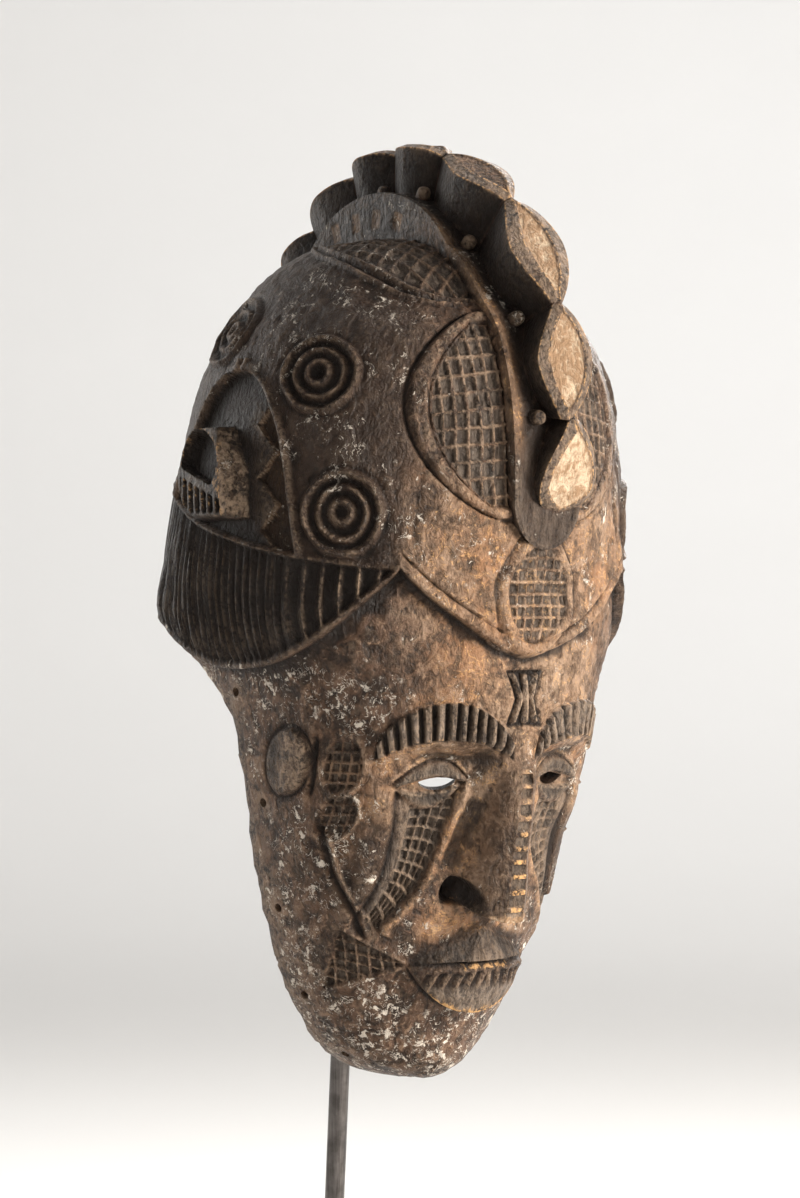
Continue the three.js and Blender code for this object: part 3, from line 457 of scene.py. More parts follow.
def carveNiche(place, carved):
    angle, z, radius = place["angle"], place["z"], place["radius"]
    up = np.clip((z - niche["foot"]) / (niche["peak"] - niche["foot"]), 0, 1)
    half = niche["halfWidth"] * (1 - up) ** 0.45
    across = np.abs(np.radians(angle - niche["angle"]) * radius)
    base = rise(z - fringeTop(angle) - 2, 1.2) * (z < niche["peak"] + niche["rib"])
    inside = rise(half - across, 1.2) * base
    onRib = ridge(half - across + niche["rib"] / 2, niche["rib"] / 2 + 0.6) * base
    onRib = np.maximum(onRib, 0.9 * ridge(z - niche["peak"] - 2, 3.6) * rise(12 - across, 5) * base)
    # The block and the plate before it lean forward as they go down.
    upright = np.radians(angle - earBlock["angle"]) * radius
    side = upright + earBlock["lean"] * (earBlock["z"] - z)
    drum = insideOval(np.maximum(side, 0), z, {**earBlock, "s": 0})
    wallFoot = earBlock["wallFoot"] + 0.5 * np.maximum(z - earBlock["z"], 0)
    front = np.clip((side - wallFoot) / (earFace["corner"] - wallFoot), 0, 1)
    onBlock = rise(drum * earBlock["halfWidth"], 1) * rise(front - 0.04, 0.04)
    # The block's forward wall has three flats, and its outer face a hollow over a slanted bar and a comb.
    flats = np.mod((side - wallFoot) / earBlock["flatWidth"], 1) * earBlock["flatStep"]
    flats = flats - earBlock["topSlope"] * rise(z - earBlock["facet"], 3)
    onFace = rise(side - earFace["corner"], 0.5)
    onWall = onBlock * (1 - onFace)
    slant = z - earFace["barSlant"] * upright
    bowlInside = insideOval(side, z, earBowl) * earBowl["halfWidth"]
    bowl = rise(bowlInside, 0.7) * rise(slant - earFace["barTop"], 0.5) * onFace
    onComb = rise(earFace["barFoot"] - slant, 0.5) * rise(z - earFace["combFoot"], 1) * onFace
    onComb = onComb * rise(earFace["combEnd"] - side, 1)
    tooth = zigzag(side / earFace["toothPitch"])
    slots = onComb * rise(tooth - 0.5, 0.15)
    block = earBlock["height"] * onBlock * front + flats * onWall
    block -= earBowl["depth"] * bowl + earFace["slotDepth"] * slots
    notches = offMiddle((z - niche["foot"]) / plate["notchPitch"])
    toPlate = side - plate["edge"] + plate["notchDepth"] * notches
    onPlate = rise(toPlate, 0.8)
    floor = block + plate["height"] * onPlate - niche["depth"]
    carved["height"] += niche["ribHeight"] * onRib + inside * floor
    # Black within, rusty before the plate, pale on the block's flats and gold along its edges.
    for name in ("rib", "dark"):
        carved[name] = carved[name] * (1 - inside)
    plateEdge = ridge(toPlate - 0.3, 1.3) * (1 - onBlock)
    paintOver(carved, "rib", np.maximum(0.4 * onRib, 0.9 * inside * plateEdge))
    paintOver(carved, "stain", inside * (1 - onBlock) * (0.3 + 0.5 * onPlate) * (1 - plateEdge))
    paintOver(carved, "stain", inside * np.maximum(bowl, slots))
    paintOver(carved, "stain", 0.85 * inside * onBlock * onFace)
    paintOver(carved, "dark", inside * (1 - onWall))
    paintOver(carved, "warm", 0.7 * inside * (1 - onPlate) * (1 - onBlock))
    paintOver(carved, "pit", 0.5 * inside * onWall)
    paintOver(carved, "rib", inside * onWall)
    paintOver(carved, "kaolin", 0.8 * inside * onWall * rise(z - earBlock["facet"] + 3, 3))
    corner = ridge(side - earFace["corner"], 1.2) * onBlock * rise(earBlock["facet"] - z, 2)
    bowlEdge = ridge(bowlInside + 1.2, 1.1) * onBlock * onFace * rise(slant - earFace["barTop"], 1)
    oneSide = rise(np.mod(side / earFace["toothPitch"], 1) - 0.5, 0.1)
    toothEdge = onComb * ridge(tooth - 0.35, 0.2) * onBlock * oneSide
    paintOver(carved, "gold", inside * np.maximum(np.maximum(corner, 0.65 * bowlEdge), 0.8 * toothEdge))


# An oval with a net of squares, under the crest.
medallion = {
    "s": 0, "z": 239, "halfWidth": 22, "halfHeight": 28, "height": 2.2, "frame": 4.5, "sunk": 0.9,
    "netCorner": (-2.5, 211), "pitch": (5.1, 5.6), "netDepth": 1.4,
}


def carveMedallion(place, carved):
    s, z = place["s"], place["z"]
    inside = insideOval(s * (1 + 0.12 * rise(z - 252, 10)), z, medallion) * medallion["halfWidth"]
    raised = rise(inside, 1.2)
    carved["height"] += medallion["height"] * raised - 1.2 * ridge(inside + 2, 1.8)
    net = rise(inside - medallion["frame"], 0.8)
    carved["height"] -= medallion["sunk"] * net
    carved["dark"] *= 1 - raised
    paintOver(carved, "rib", 0.4 * ridge(inside - 2.4, 2.6))
    wander = 0.6 * noiseAt(place["point"], 10, 7)
    column, row = s + wander - medallion["netCorner"][0], z - medallion["netCorner"][1] + wander
    cutHatch(carved, net, column, row, medallion["pitch"], 0.7, medallion["netDepth"])
    paintOver(carved, "warm", 0.4 * raised)


# Three pinched bars on the forehead.
bars = {
    "z": 190, "halfHeight": 11.5, "height": 2.8, "halfWidth": 2.1, "middleHalfWidth": 2.2,
    "waist": 3.4, "spread": 4.2, "margin": 2.6, "kink": 1.15, "fieldDepth": 2.0,
}


def carveBars(place, carved):
    s, z = place["s"], place["z"]
    upward = np.abs(z - bars["z"])
    pinch = bars["waist"] + bars["spread"] * (upward / bars["halfHeight"]) ** bars["kink"]
    toBar = np.maximum(bars["middleHalfWidth"] - s, bars["halfWidth"] - np.abs(s - pinch))
    within = rise(bars["halfHeight"] - upward, 0.6)
    onBars = within * np.clip(toBar / 1.5, 0, 1)
    field = rise(bars["halfHeight"] + 1.5 - upward, 1) * rise(pinch + bars["margin"] + 1 - s, 1)
    carved["height"] += bars["height"] * onBars - bars["fieldDepth"] * field
    paintOver(carved, "stain", field * (1 - rise(toBar - 0.3, 0.4) * within))
    paintOver(carved, "pit", 0.9 * onBars)
    # Painted highlight: the crown of each bar is painted in the pale dusty colour.
    carved["rib"] = np.maximum(carved["rib"] * (1 - field), 0.8 * within * rise(toBar - 0.9, 0.6))
    carved["warm"] *= 1 - field


# A brow is a crescent of upright flutes, over a shelf painted warm as painted light.
brow = {
    "s": 44, "halfLength": 37, "ends": 161, "top": 188, "underside": 171,
    "pitch": 5.6, "height": 2.2, "flute": 3.6, "fanFrom": 165, "fan": 0.25, "shelf": 11,
}


def carveBrow(place, carved):
    s, z = place["s"], place["z"]
    over = np.clip((s - brow["s"]) / brow["halfLength"], -1, 1)
    upper = brow["ends"] + (brow["top"] - brow["ends"]) * np.sqrt(1 - over**2)
    lower = brow["ends"] + (brow["underside"] - brow["ends"]) * (1 - over**2)
    within = rise(1 - np.abs(over), 0.02)
    inside = rise(upper - z, 0.7) * rise(z - lower, 0.7) * within
    fan = (z - brow["fanFrom"]) * over * brow["fan"]
    across = offMiddle((s - brow["s"] - fan) / brow["pitch"])
    valley = 1 - rise(across - 0.42, 0.24)
    carved["height"] += inside * (brow["height"] - brow["flute"] * valley)
    carved["height"] -= 0.5 * ridge(upper + 1.2 - z, 1.4) * within
    paintOver(carved, "stain", 0.9 * inside * valley)
    paintOver(carved, "pit", 0.9 * inside)
    paintOver(carved, "rib", 0.42 * inside * rise(across - 0.78, 0.16))
    paintOver(carved, "gold", 0.8 * inside * ridge(z - lower - 0.6, 1.6) * across)
    # Painted light: the shelf under the brow is painted warm, as if lit.
    shelf = rise(lower - z, 1.0) * rise(z - lower + brow["shelf"], 4) * rise(1 - np.abs(over), 0.1)
    paintOver(carved, "warm", 0.7 * shelf)


# The cheeks fall away from the nose, deepest beside it and under the brow.
cheekPit = {"inner": 15, "outer": 59, "top": 165, "foot": 100, "depth": 10}


def cheekSink(s, z):
    sideways = rise(s - cheekPit["inner"], 11) * (1 - rise(s - cheekPit["outer"], 15))
    return cheekPit["depth"] * sideways * rise(cheekPit["top"] - z, 6) * rise(z - cheekPit["foot"], 25)


def carveCheekPit(place, carved):
    carved["height"] -= cheekSink(place["s"], place["z"])


# The eye is an almond in a socket, with a ridge along its lids.
eye = {"s": 47.8, "z": 148.9, "halfLength": 8.5, "upper": 1.0, "lower": 4.7}
eyeSocket = {"s": 50, "z": 151, "halfWidth": 25, "halfHeight": 13.5, "depth": 3.2}
eyelid = {
    "s": 48.8, "z": 149.3, "halfWidth": 20.5, "top": 8.6, "foot": 13.0, "height": 1.5,
    "shelfZ": 147.2, "shelf": 3.8, "sunk": 2.0, "lashPitch": 1.7,
}
wornCorner = {"s": 26.5, "foot": 137, "top": 157, "halfWidth": 4.5}


def insideLids(s, z):  # in millimetres from the lids' edge
    almond = 1 - ((s - eyelid["s"]) / eyelid["halfWidth"]) ** 2
    return almond * np.where(z > eyelid["z"], eyelid["top"], eyelid["foot"]) - np.abs(z - eyelid["z"])


def carveEye(place, carved):
    s, z = place["s"], place["z"]
    sunken = rise(insideOval(s, z, eyeSocket) * eyeSocket["halfHeight"], 4)
    almond = 1 - ((s - eyelid["s"]) / eyelid["halfWidth"]) ** 2
    lens = insideLids(s, z)
    raised = rise(lens, 2.0)
    # Between the lids lies a narrow shelf, which the slit is cut through.
    shelf = almond * eyelid["shelf"] - np.abs(z - eyelid["shelfZ"])
    sunkShelf = rise(shelf, 0.6)
    fromMiddle = np.abs(s - eyelid["s"])
    lidEdge = ridge(shelf + 1.0, 1.2) * rise(eyelid["halfWidth"] + 1 - fromMiddle, 1)
    groove = ridge(lens + 1.2, 1.5) * rise(eyelid["halfWidth"] + 3 - fromMiddle, 1)
    groove = groove * (0.9 - 0.3 * rise(eye["z"] - z, 3))
    lashes = zigzag((s - eye["s"]) / eyelid["lashPitch"] + 0.15 * (z - eye["z"]))
    lid = eyelid["height"] * raised * (1 + 0.5 * rise(z - eye["z"], 2))
    carved["height"] += lid - eyeSocket["depth"] * sunken - eyelid["sunk"] * sunkShelf
    carved["height"] += 0.4 * lidEdge - 1.1 * groove - 0.3 * raised * lashes * (1 - sunkShelf)
    paintOver(carved, "pit", raised * (1 - sunkShelf))
    paintOver(carved, "stain", (0.42 + 0.25 * rise(eye["z"] - 4 - z, 2)) * raised * (1 - sunkShelf))
    paintOver(carved, "stain", np.maximum(0.6 * groove, 0.85 * ridge(shelf, 1.3) * rise(z - eye["z"], 1)))
    paintOver(carved, "warm", 0.5 * sunkShelf)
    paintOver(carved, "rib", 0.8 * np.maximum(lidEdge, 0.6 * sunkShelf) * rise(eye["z"] - 1 - z, 1))
    # A worn edge runs over the upper lid and down past its inner corner.
    rim = ridge(lens + 3.0, 2.6) * rise(z - eyelid["z"] - 1, 3)
    rim = rim * rise(eyelid["halfWidth"] + 4 - fromMiddle, 2)
    downCorner = ridge(s - wornCorner["s"], wornCorner["halfWidth"])
    rim = np.maximum(rim, downCorner * rise(z - wornCorner["foot"], 4) * rise(wornCorner["top"] - z, 3))
    carved["height"] += 0.8 * rim
    paintOver(carved, "warm", 0.8 * rim)
    paintOver(carved, "rib", 0.75 * rim)
    carved["warm"] *= 1 - 0.8 * raised * (1 - sunkShelf)


# A band of hatching curves down the cheek from the eye, and narrows as it goes.
cheekBand = {
    "top": 139, "foot": 82, "middle": 46.3, "topAside": 3, "footAside": 15, "halfWidth": 16.6,
    "narrowing": 10, "strip": 5, "depth": 2, "ribHeight": 1.6, "outerDepth": 3.0,
    "pitch": 5.2, "columns": 4, "netDepth": 1.7,
}


def carveCheekBand(place, carved):
    s, z = place["s"], place["z"]
    down = np.clip((cheekBand["top"] - z) / (cheekBand["top"] - cheekBand["foot"]), 0, 1)
    middle = cheekBand["middle"] + cheekBand["topAside"] * (1 - down) ** 4
    middle = middle + cheekBand["footAside"] * down**2.4
    half = cheekBand["halfWidth"] - cheekBand["narrowing"] * down
    off = s - middle
    underLid = rise(-2 - insideLids(s, z), 1) * rise(eyelid["z"] - 3 - z, 2)
    ends = rise(z - cheekBand["foot"] - 0.5 * off, 1.2) * underLid
    inside = rise(half - np.abs(off), 0.8)
    outerGroove = ridge(off - half - 1.4, 2.8)
    innerGroove = ridge(off + half + 0.2, 1.4)
    innerRib = ridge(off + half + 4.0, 4.4)
    relief = cheekBand["ribHeight"] * innerRib - cheekBand["outerDepth"] * outerGroove
    carved["height"] += ends * (relief - 0.8 * innerGroove - cheekBand["depth"] * inside)
    # The smooth strip along the band's outer edge, then the columns of squares.
    strip = cheekBand["strip"] * (1 - 0.3 * down)
    toStrip = half - strip - off
    net = ends * rise(toStrip, 0.6) * rise(half - 0.8 + off, 0.6)
    column = toStrip / np.maximum(2 * half - strip, 4) * cheekBand["columns"] * cheekBand["pitch"]
    wander = 0.5 * noiseAt(place["point"], 9, 8)
    level = z - (0.12 + 0.7 * down**2) * off + wander
    square = (cheekBand["pitch"], cheekBand["pitch"])
    cutHatch(carved, net, column, level, square, 0.7, cheekBand["netDepth"], 1.1)
    paintOver(carved, "stain", ends * np.maximum(0.85 * outerGroove, 0.5 * innerGroove))
    paintOver(carved, "pit", 0.7 * ends * inside)
    paintOver(carved, "rib", 0.25 * ends * ridge(toStrip + 1, 1.4))
    paintOver(carved, "warm", 0.8 * ends * innerRib)
    paintOver(carved, "rib", 0.45 * ends * innerRib)


# The nose is a long wedge with a notched ridge, cut off flat below.
nose = {
    "top": 160, "tip": 91, "height": 21, "bridgeHeight": 2, "halfWidth": 27, "bridgeHalfWidth": 12,
    "ridgeHalfWidth": 2.5, "ridgeWidening": 0.8, "notchPitch": 6.5, "notchDepth": 1.8,
}
noseWearAndLight = {  # start and end on each measure, with their softness
    "beside": {"s": ((16, 5), (34, 4)), "z": ((104, 8), (156, 8))},
    "under": {"z": ((76, 5), (93, 2)), "s": (None, (34, 6))},
}
nostril = {"s": 20.2, "z": 96.3, "halfWidth": 9.3, "halfHeight": 7.8, "depth": 9.5}


def carveNose(place, carved):
    s, z = place["s"], place["z"]
    down = np.clip((nose["top"] - z) / (nose["top"] - nose["tip"]), 0, 1)
    half = nose["bridgeHalfWidth"] + (nose["halfWidth"] - nose["bridgeHalfWidth"]) * down
    height = nose["bridgeHeight"] + (nose["height"] - nose["bridgeHeight"]) * down
    ridgeHalf = nose["ridgeHalfWidth"] + nose["ridgeWidening"] * down
    flank = np.clip((half - s) / (half - ridgeHalf), 0, 1)
    body = height * flank * rise(z - nose["tip"], 1.2) * rise(nose["top"] + 4 - z, 5)
    inHole = insideOval(s, z, nostril) * nostril["halfHeight"]
    aboveTip = rise(z - nose["tip"] + 0.5, 0.8)
    hole = rise(inHole - 1.4, 1.8) * aboveTip
    onNose = rise(z - nose["tip"] - 1, 1) * rise(nose["top"] - 2 - z, 2)
    onRidge = onNose * rise(ridgeHalf - s, 0.4)
    tooth = rise(zigzag((z - nose["tip"]) / nose["notchPitch"]) - 0.38, 0.1)
    # Scoops cross the ridge, with worn blocks between them.
    notched = onNose * rise(ridgeHalf + 0.5 - s, 0.5)
    carved["height"] += body - nostril["depth"] * hole - nose["notchDepth"] * notched * tooth
    paintOver(carved, "rib", 0.6 * onRidge * (1 - tooth))
    paintOver(carved, "pit", 0.9 * notched * tooth)
    paintOver(carved, "rib", 0.35 * notched * tooth)
    paintOver(carved, "gold", 0.85 * notched * (1 - tooth) * (0.55 + 0.45 * rise(132 - z, 15)))
    besideRidge = onNose * ridge(s - ridgeHalf - 1.8, 0.9)
    # Painted shade: the nostril's hole is painted black inside. A line of stain runs beside the ridge.
    paintOver(carved, "stain", np.maximum(rise(inHole + 0.2, 0.5) * aboveTip, 0.7 * besideRidge))
    lowerEdge = ridge(z - nose["tip"] - 1.4, 2.1) * rise(10.5 - s, 1.5)
    paintOver(carved, "gold", lowerEdge)
    paintOver(carved, "cream", 0.8 * lowerEdge * rise(12 - s, 3))
    onFlank = onNose * rise(half * 0.9 - s, 3) * rise(s - ridgeHalf - 1, 1)
    upFlank = rise(z - 124, 16)
    # Painted shade and light: the flank near the ridge is painted darker as shade, the flank a little warmer
    # as light, and the hollow beside the cheek warm and pale as light over the shade the nose casts there.
    near = rise(17 - s, 5)
    paintOver(carved, "dark", (0.3 + 0.45 * near - 0.2 * upFlank) * onFlank)
    paintOver(carved, "warm", 0.25 * onFlank)
    beside = within(place, noseWearAndLight["beside"])
    paintOver(carved, "warm", 0.9 * beside)
    paintOver(carved, "rib", 0.3 * beside)
    paintOver(carved, "warm", within(place, noseWearAndLight["under"]))


# Parted lips, with teeth between them and gouges on the lower one.
mouth = {
    "halfWidth": 36, "corner": 62, "upper": 75.5, "lower": 41, "height": 10.5, "bow": 4.2,
    "toothPitch": 7.0, "teethHalfWidth": 12, "gougePitch": 5.6, "gougeTop": 3.6, "gougeFoot": 11,
    "linePitch": 2.3, "nickPitch": 3.4,
}


def carveMouth(place, carved):
    s, z = place["s"], place["z"]
    out = np.clip(s / mouth["halfWidth"], 0, 1)
    bow = mouth["bow"] * ridge(s, 13)
    upper = mouth["corner"] + (mouth["upper"] - mouth["corner"]) * (1 - out**2.1) + bow
    lower = mouth["corner"] - (mouth["corner"] - mouth["lower"]) * (1 - out**2)
    parting = mouth["corner"] + 4 * (1 - out**2)
    full = mouth["height"] * (1 - out**2) ** 0.7
    inside = rise(upper - z, 1.2) * rise(z - lower, 1.2)
    top = np.maximum(upper - parting, 1)
    slope = np.where(z > parting, 0.28 + 0.72 * (upper - z) / top, 1.0)
    gap = ridge(z - parting, 1.8)
    carved["height"] += full * inside * (slope - 0.42 * gap)
    lips = inside * rise(1 - out, 0.03)
    under = parting - z
    # Under the parting: a thin row of teeth, a notched edge, gouges, a smooth band and a worn rim.
    teeth = lips * rise(under - 0.4, 0.4) * rise(2.3 - under, 0.4) * rise(mouth["teethHalfWidth"] - s, 1)
    betweenTeeth = teeth * rise(zigzag(s / mouth["toothPitch"]) - 0.86, 0.1)
    gouged = lips * rise(under - mouth["gougeTop"], 0.8) * rise(mouth["gougeFoot"] - under, 1.6)
    gouged = gouged * rise(mouth["halfWidth"] - 7 - s, 2)
    acrossGouge = zigzag((s - 0.25 * under) / mouth["gougePitch"])
    gouges = gouged * rise(acrossGouge - 0.45, 0.3)
    lines = lips * rise(-under - 1, 0.8) * zigzag(s / mouth["linePitch"] + 0.05 * z)
    lobe = rise((upper - z) * 1.3 + 1 - s, 0.5) * lips * rise(-under - 0.5, 0.5)
    nicks = lips * ridge(upper - z - 1.5, 1.8) * rise(zigzag(s / mouth["nickPitch"]) - 0.6, 0.25)
    carved["height"] += 0.9 * lobe - 0.9 * betweenTeeth - 1.5 * gouges - 0.35 * lines - 1.1 * nicks
    paintOver(carved, "pit", 0.7 * lips * rise(-under - 1, 1))
    paintOver(carved, "stain", 0.78 * lips * rise(-under - 1, 1) * (1 - 0.6 * lobe))
    paintOver(carved, "pit", 0.9 * lips * rise(under - mouth["gougeFoot"] + 1, 1.5))
    paintOver(carved, "dark", 0.7 * lips)
    paintOver(carved, "stain", np.maximum(lips * gap, np.maximum(0.8 * betweenTeeth, 0.6 * nicks)))
    paintOver(carved, "stain", 0.5 * gouges)
    paintOver(carved, "gold", 0.8 * (teeth - betweenTeeth))
    paintOver(carved, "cream", 0.4 * (teeth - betweenTeeth) * rise(10 - s, 3))
    paintOver(carved, "rib", 0.75 * gouged * ridge(acrossGouge - 0.2, 0.25))
    rim = lips * np.minimum(1.4 * ridge(z - lower - 1.2, 2.1), 1)
    paintOver(carved, "gold", rim * rise(25 - s, 4))
    # Painted shadow: a black line under the lower lip, over a shallow groove.
    paintOver(carved, "stain", 0.85 * ridge(z - lower + 1.8, 1.9) * rise(1 - out, 0.03))
    carved["height"] -= 0.9 * ridge(z - lower + 1.8, 2.2) * rise(1 - out, 0.03)
    carved["warm"] *= 1 - lips


# The ear of the face: a raised disc, two hatched lobes before it and a crease below them.
faceEar = {
    "s": 125, "z": 159.5, "halfWidth": 12, "halfHeight": 15.5, "height": 2.4, "gap": 110, "gapDepth": 2.2,
    "scratchPitch": 1.7, "scratchDepth": 0.35,
}
earLobes = [
    {"s": 95, "z": 158, "halfWidth": 9.5, "halfHeight": 13},
    {"s": 93, "z": 134, "halfWidth": 9.5, "halfHeight": 11},
]
earNet = {"pitch": (4.6, 5.0), "depth": 1.9, "worn": 0.6}
crease = {"s": 94, "top": 126, "foot": 84, "slope": 0.73, "height": 1.8, "behindDepth": 2.6}


def carveFaceEar(place, carved):
    s, z = place["s"], place["z"]
    disc = insideOval(s, z, faceEar) * faceEar["halfWidth"]
    onDisc = rise(disc, 1.0)
    carved["height"] += faceEar["height"] * onDisc * (0.4 + 0.6 * rise(faceEar["s"] + 3 - s, 7))
    carved["height"] -= 0.8 * ridge(disc + 1.4, 1.6)
    gap = ridge(s - faceEar["gap"], 2.6) * rise(14 - np.abs(z - faceEar["z"] + 2), 4)
    carved["height"] -= faceEar["gapDepth"] * gap
    scratches = zigzag(z / faceEar["scratchPitch"] + 0.12 * s + 0.6 * noiseAt(place["point"], 7, 33))
    carved["height"] -= faceEar["scratchDepth"] * onDisc * scratches
    paintOver(carved, "stain", np.maximum(0.7 * ridge(disc + 1.4, 1.8), 0.9 * gap))
    paintOver(carved, "stain", 0.8 * onDisc * rise(s - faceEar["s"] - 3, 5))
    paintOver(carved, "pit", 0.45 * onDisc)
    paintOver(carved, "rib", 0.85 * onDisc * rise(faceEar["s"] + 3 - s, 5))
    for number, lobe in enumerate(earLobes):
        inside = insideOval(s, z, lobe) * lobe["halfWidth"]
        border = ridge(inside + 1.2, 1.8)
        net = rise(inside - 0.6, 0.6)
        carved["height"] += 1.5 * border * (0.5 + 0.5 * rise(lobe["s"] - s, 3))
        wander = 0.5 * noiseAt(place["point"], 8, 30 + number)
        column, row = s + wander, z + wander
        cutHatch(carved, net, column, row, earNet["pitch"], 0.65, earNet["depth"], worn=earNet["worn"])
        paintOver(carved, "rib", 0.75 * border * rise(lobe["s"] + 2 - s, 4))
        paintOver(carved, "stain", 0.6 * ridge(inside + 3.4, 1.6) * rise(s - lobe["s"], 4))
    slant = s - crease["s"] + crease["slope"] * (crease["top"] - z) - 3 * ridge(z - 104, 20)
    length = rise(crease["top"] - z, 2) * rise(z - crease["foot"], 3)
    onCrease = ridge(slant, 1.8) * length
    outer = ridge(slant - 4.5, 3.4) * rise(crease["top"] + 4 - z, 3) * rise(z - crease["foot"] + 8, 3)
    carved["height"] += crease["height"] * onCrease - crease["behindDepth"] * outer
    paintOver(carved, "rib", 0.6 * onCrease)
    paintOver(carved, "stain", 0.75 * outer)


# A sunken triangle of hatching behind the corner of the mouth.
triangle = {
    "s": 37, "z": 62, "length": 36, "upperSlope": 0.47, "lowerSlope": 0.34, "depth": 1.0,
    "border": 0.8, "pitch": (5.8, 4.8), "netDepth": 1.9,
}


def carveTriangle(place, carved):
    s, z = place["s"], place["z"]
    outward = s - triangle["s"]
    upward = z - triangle["z"]
    underTop = triangle["upperSlope"] * outward - upward
    overFoot = triangle["lowerSlope"] * outward + upward
    length = rise(outward, 1) * rise(triangle["length"] + 1 - outward, 1)
    inside = length * rise(underTop, 0.6) * rise(overFoot, 0.6)
    carved["height"] -= triangle["depth"] * inside
    border = np.maximum(ridge(underTop + 1.2, 1.8), ridge(overFoot + 1.2, 1.3)) * length
    carved["height"] += triangle["border"] * border
    wander = 0.7 * noiseAt(place["point"], 10, 9)
    column = outward - 0.4 * upward + wander
    row = upward - 0.2 * outward + wander
    cutHatch(carved, inside, column, row, triangle["pitch"], 0.8, triangle["netDepth"], 1.7)
    paintOver(carved, "stain", 0.25 * inside)
    paintOver(carved, "rib", 0.45 * border)


# Where the paint is worn warm, where light and shade are painted, where kaolin clings, and the gouge marks
# all over.
wornPlacesAndPaintedLight = {  # start and end on each measure, with their softness
    "forehead": {"s": (None, (60, 22)), "z": ((160, 8), (248, 14))},
    "paintedLightEyeCorner": {"s": ((10, 4), (40, 6)), "z": ((142, 5), (172, 4))},
    "middle": {"s": (None, (26, 14)), "z": ((168, 6), (216, 8))},
    "cheek": {"s": ((58, 4), (86, 6)), "z": ((92, 8), (158, 8))},
    "underEye": {"s": ((58, 4), (84, 8)), "z": ((88, 8), (128, 14))},
    "lobe": {"angle": (None, (35, 6)), "z": ((215, 8), None)},
    "chin": {"z": (None, (46, 14))},
    "temple": {"s": ((66, 8), None), "z": ((172, 10), (208, 10))},
    "jaw": {"s": ((58, 14), None), "z": ((18, 14), (150, 20))},
    "capSide": {"z": ((262, 10), None), "angle": ((25, 10), None)},
    "face": {"z": (None, (205, 8)), "s": (None, (112, 10))},
    "rim": {"w": (None, (2, 4)), "z": (None, (186, 8))},
    "behind": {"angle": ((84, 12), None), "z": ((250, 10), None)},
    "smoothSide": {"angle": ((70, 6), None), "z": (None, (215, 10))},
}
kaolinOn = {"chin": 0.7, "temple": 0.45, "jaw": 0.3, "face": 0.12, "capSide": 0.2}
gougeMarks = {"size": 6.5, "fineSize": 3.0, "share": 0.55, "swell": 0.6, "swellSize": 23}


def weatherSkinAndPaintLight(place, carved):
    point, z, angle = place["point"], place["z"], place["angle"]
    worn = {name: within(place, limits) for name, limits in wornPlacesAndPaintedLight.items()}
    broad = noiseAt(point, 42, 11)
    patch = noiseAt(point, 17, 12)
    lobe = worn["lobe"] * rise(300 - z + 0.6 * (30 - angle), 18)
    bare = 1 - np.clip(carved["pit"] + carved["stain"], 0, 1)
    paintOver(carved, "warm", np.clip(worn["forehead"] * (0.55 + 0.5 * patch), 0, 1) * bare)
    cheekWear = 0.45 - 0.4 * rise(130 - z, 8) + 0.6 * patch
    paintOver(carved, "warm", np.clip(worn["cheek"] * cheekWear, 0, 1) * bare)
    # Painted light: warm paint at the inner eye corner and under the brow's inner end, where the nose and the
    # brow cast shade.
    paintOver(carved, "warm", 0.6 * worn["paintedLightEyeCorner"] * bare)
    paintOver(carved, "rib", 0.5 * worn["middle"] * bare)
    paintOver(carved, "warm", np.clip(lobe * (0.42 + 0.6 * broad), 0, 1) * bare)
    carved["dark"] *= 1 - 0.7 * lobe
    # Painted shade: the skin's sides near the rim are stained dark, along the face's edges.
    rimPaintedShade = 0.8 * worn["rim"]
    paintOver(carved, "stain", rimPaintedShade)
    bare = bare * (1 - rimPaintedShade) * (1 - 0.7 * worn["behind"])
    density = 0.22 + 0.3 * broad + sum(share * worn[name] for name, share in kaolinOn.items())
    carved["kaolin"] = np.clip(density, 0, 1) * bare
    paintOver(carved, "dark", 0.85 * worn["underEye"])
    plain = 1 - np.clip(carved["pit"] + carved["stain"] + carved["rib"], 0, 0.75)
    coarse = noiseAt(point * [1, 1, 0.6], gougeMarks["size"], 13)
    fine = noiseAt(point * [1, 1, 0.7], gougeMarks["fineSize"], 14)
    gouges = coarse * gougeMarks["share"] + fine * (1 - gougeMarks["share"])
    calm = 1 - 0.7 * worn["smoothSide"]
    swell = gougeMarks["swell"] * noiseAt(point, gougeMarks["swellSize"], 15)
    carved["height"] += plain * gouges * calm + swell


carvings = [
    carveCap, carveFringe, carveRings, carveLeaf, carveTopLeaf, carveNiche, carveMedallion, carveBars,
    carveBrow, carveCheekPit, carveEye, carveCheekBand, carveNose, carveMouth, carveFaceEar,
    carveTriangle, weatherSkinAndPaintLight,
]


def carvedSkin(angle, t):
    point = skinPoint(angle, t)
    section = sectionAt(t)
    radius = np.maximum((section[1] + section[2]) / 2, 1)
    angle, radius = np.broadcast_arrays(angle, radius)
    place = {
        "angle": angle, "radius": radius, "s": np.radians(angle) * radius,
        "u": point[..., 0], "w": point[..., 1], "z": point[..., 2], "point": point,
    }
    carved = {name: np.zeros(angle.shape) for name in paintNames + ["height"]}
    for carving in carvings:
        carving(place, carved)
    fade = np.clip(np.minimum(t, fullLength - t) / headShape["endsFade"], 0, 1)
    point = point + skinNormal(angle, t) * (carved["height"] * fade)[..., None]
    point[..., 0] -= 0.6 * np.maximum(point[..., 0] - headShape["widest"], 0)
    point[..., 1] += 0.7 * np.maximum(-headShape["deepest"] - point[..., 1], 0)
    return point, carved


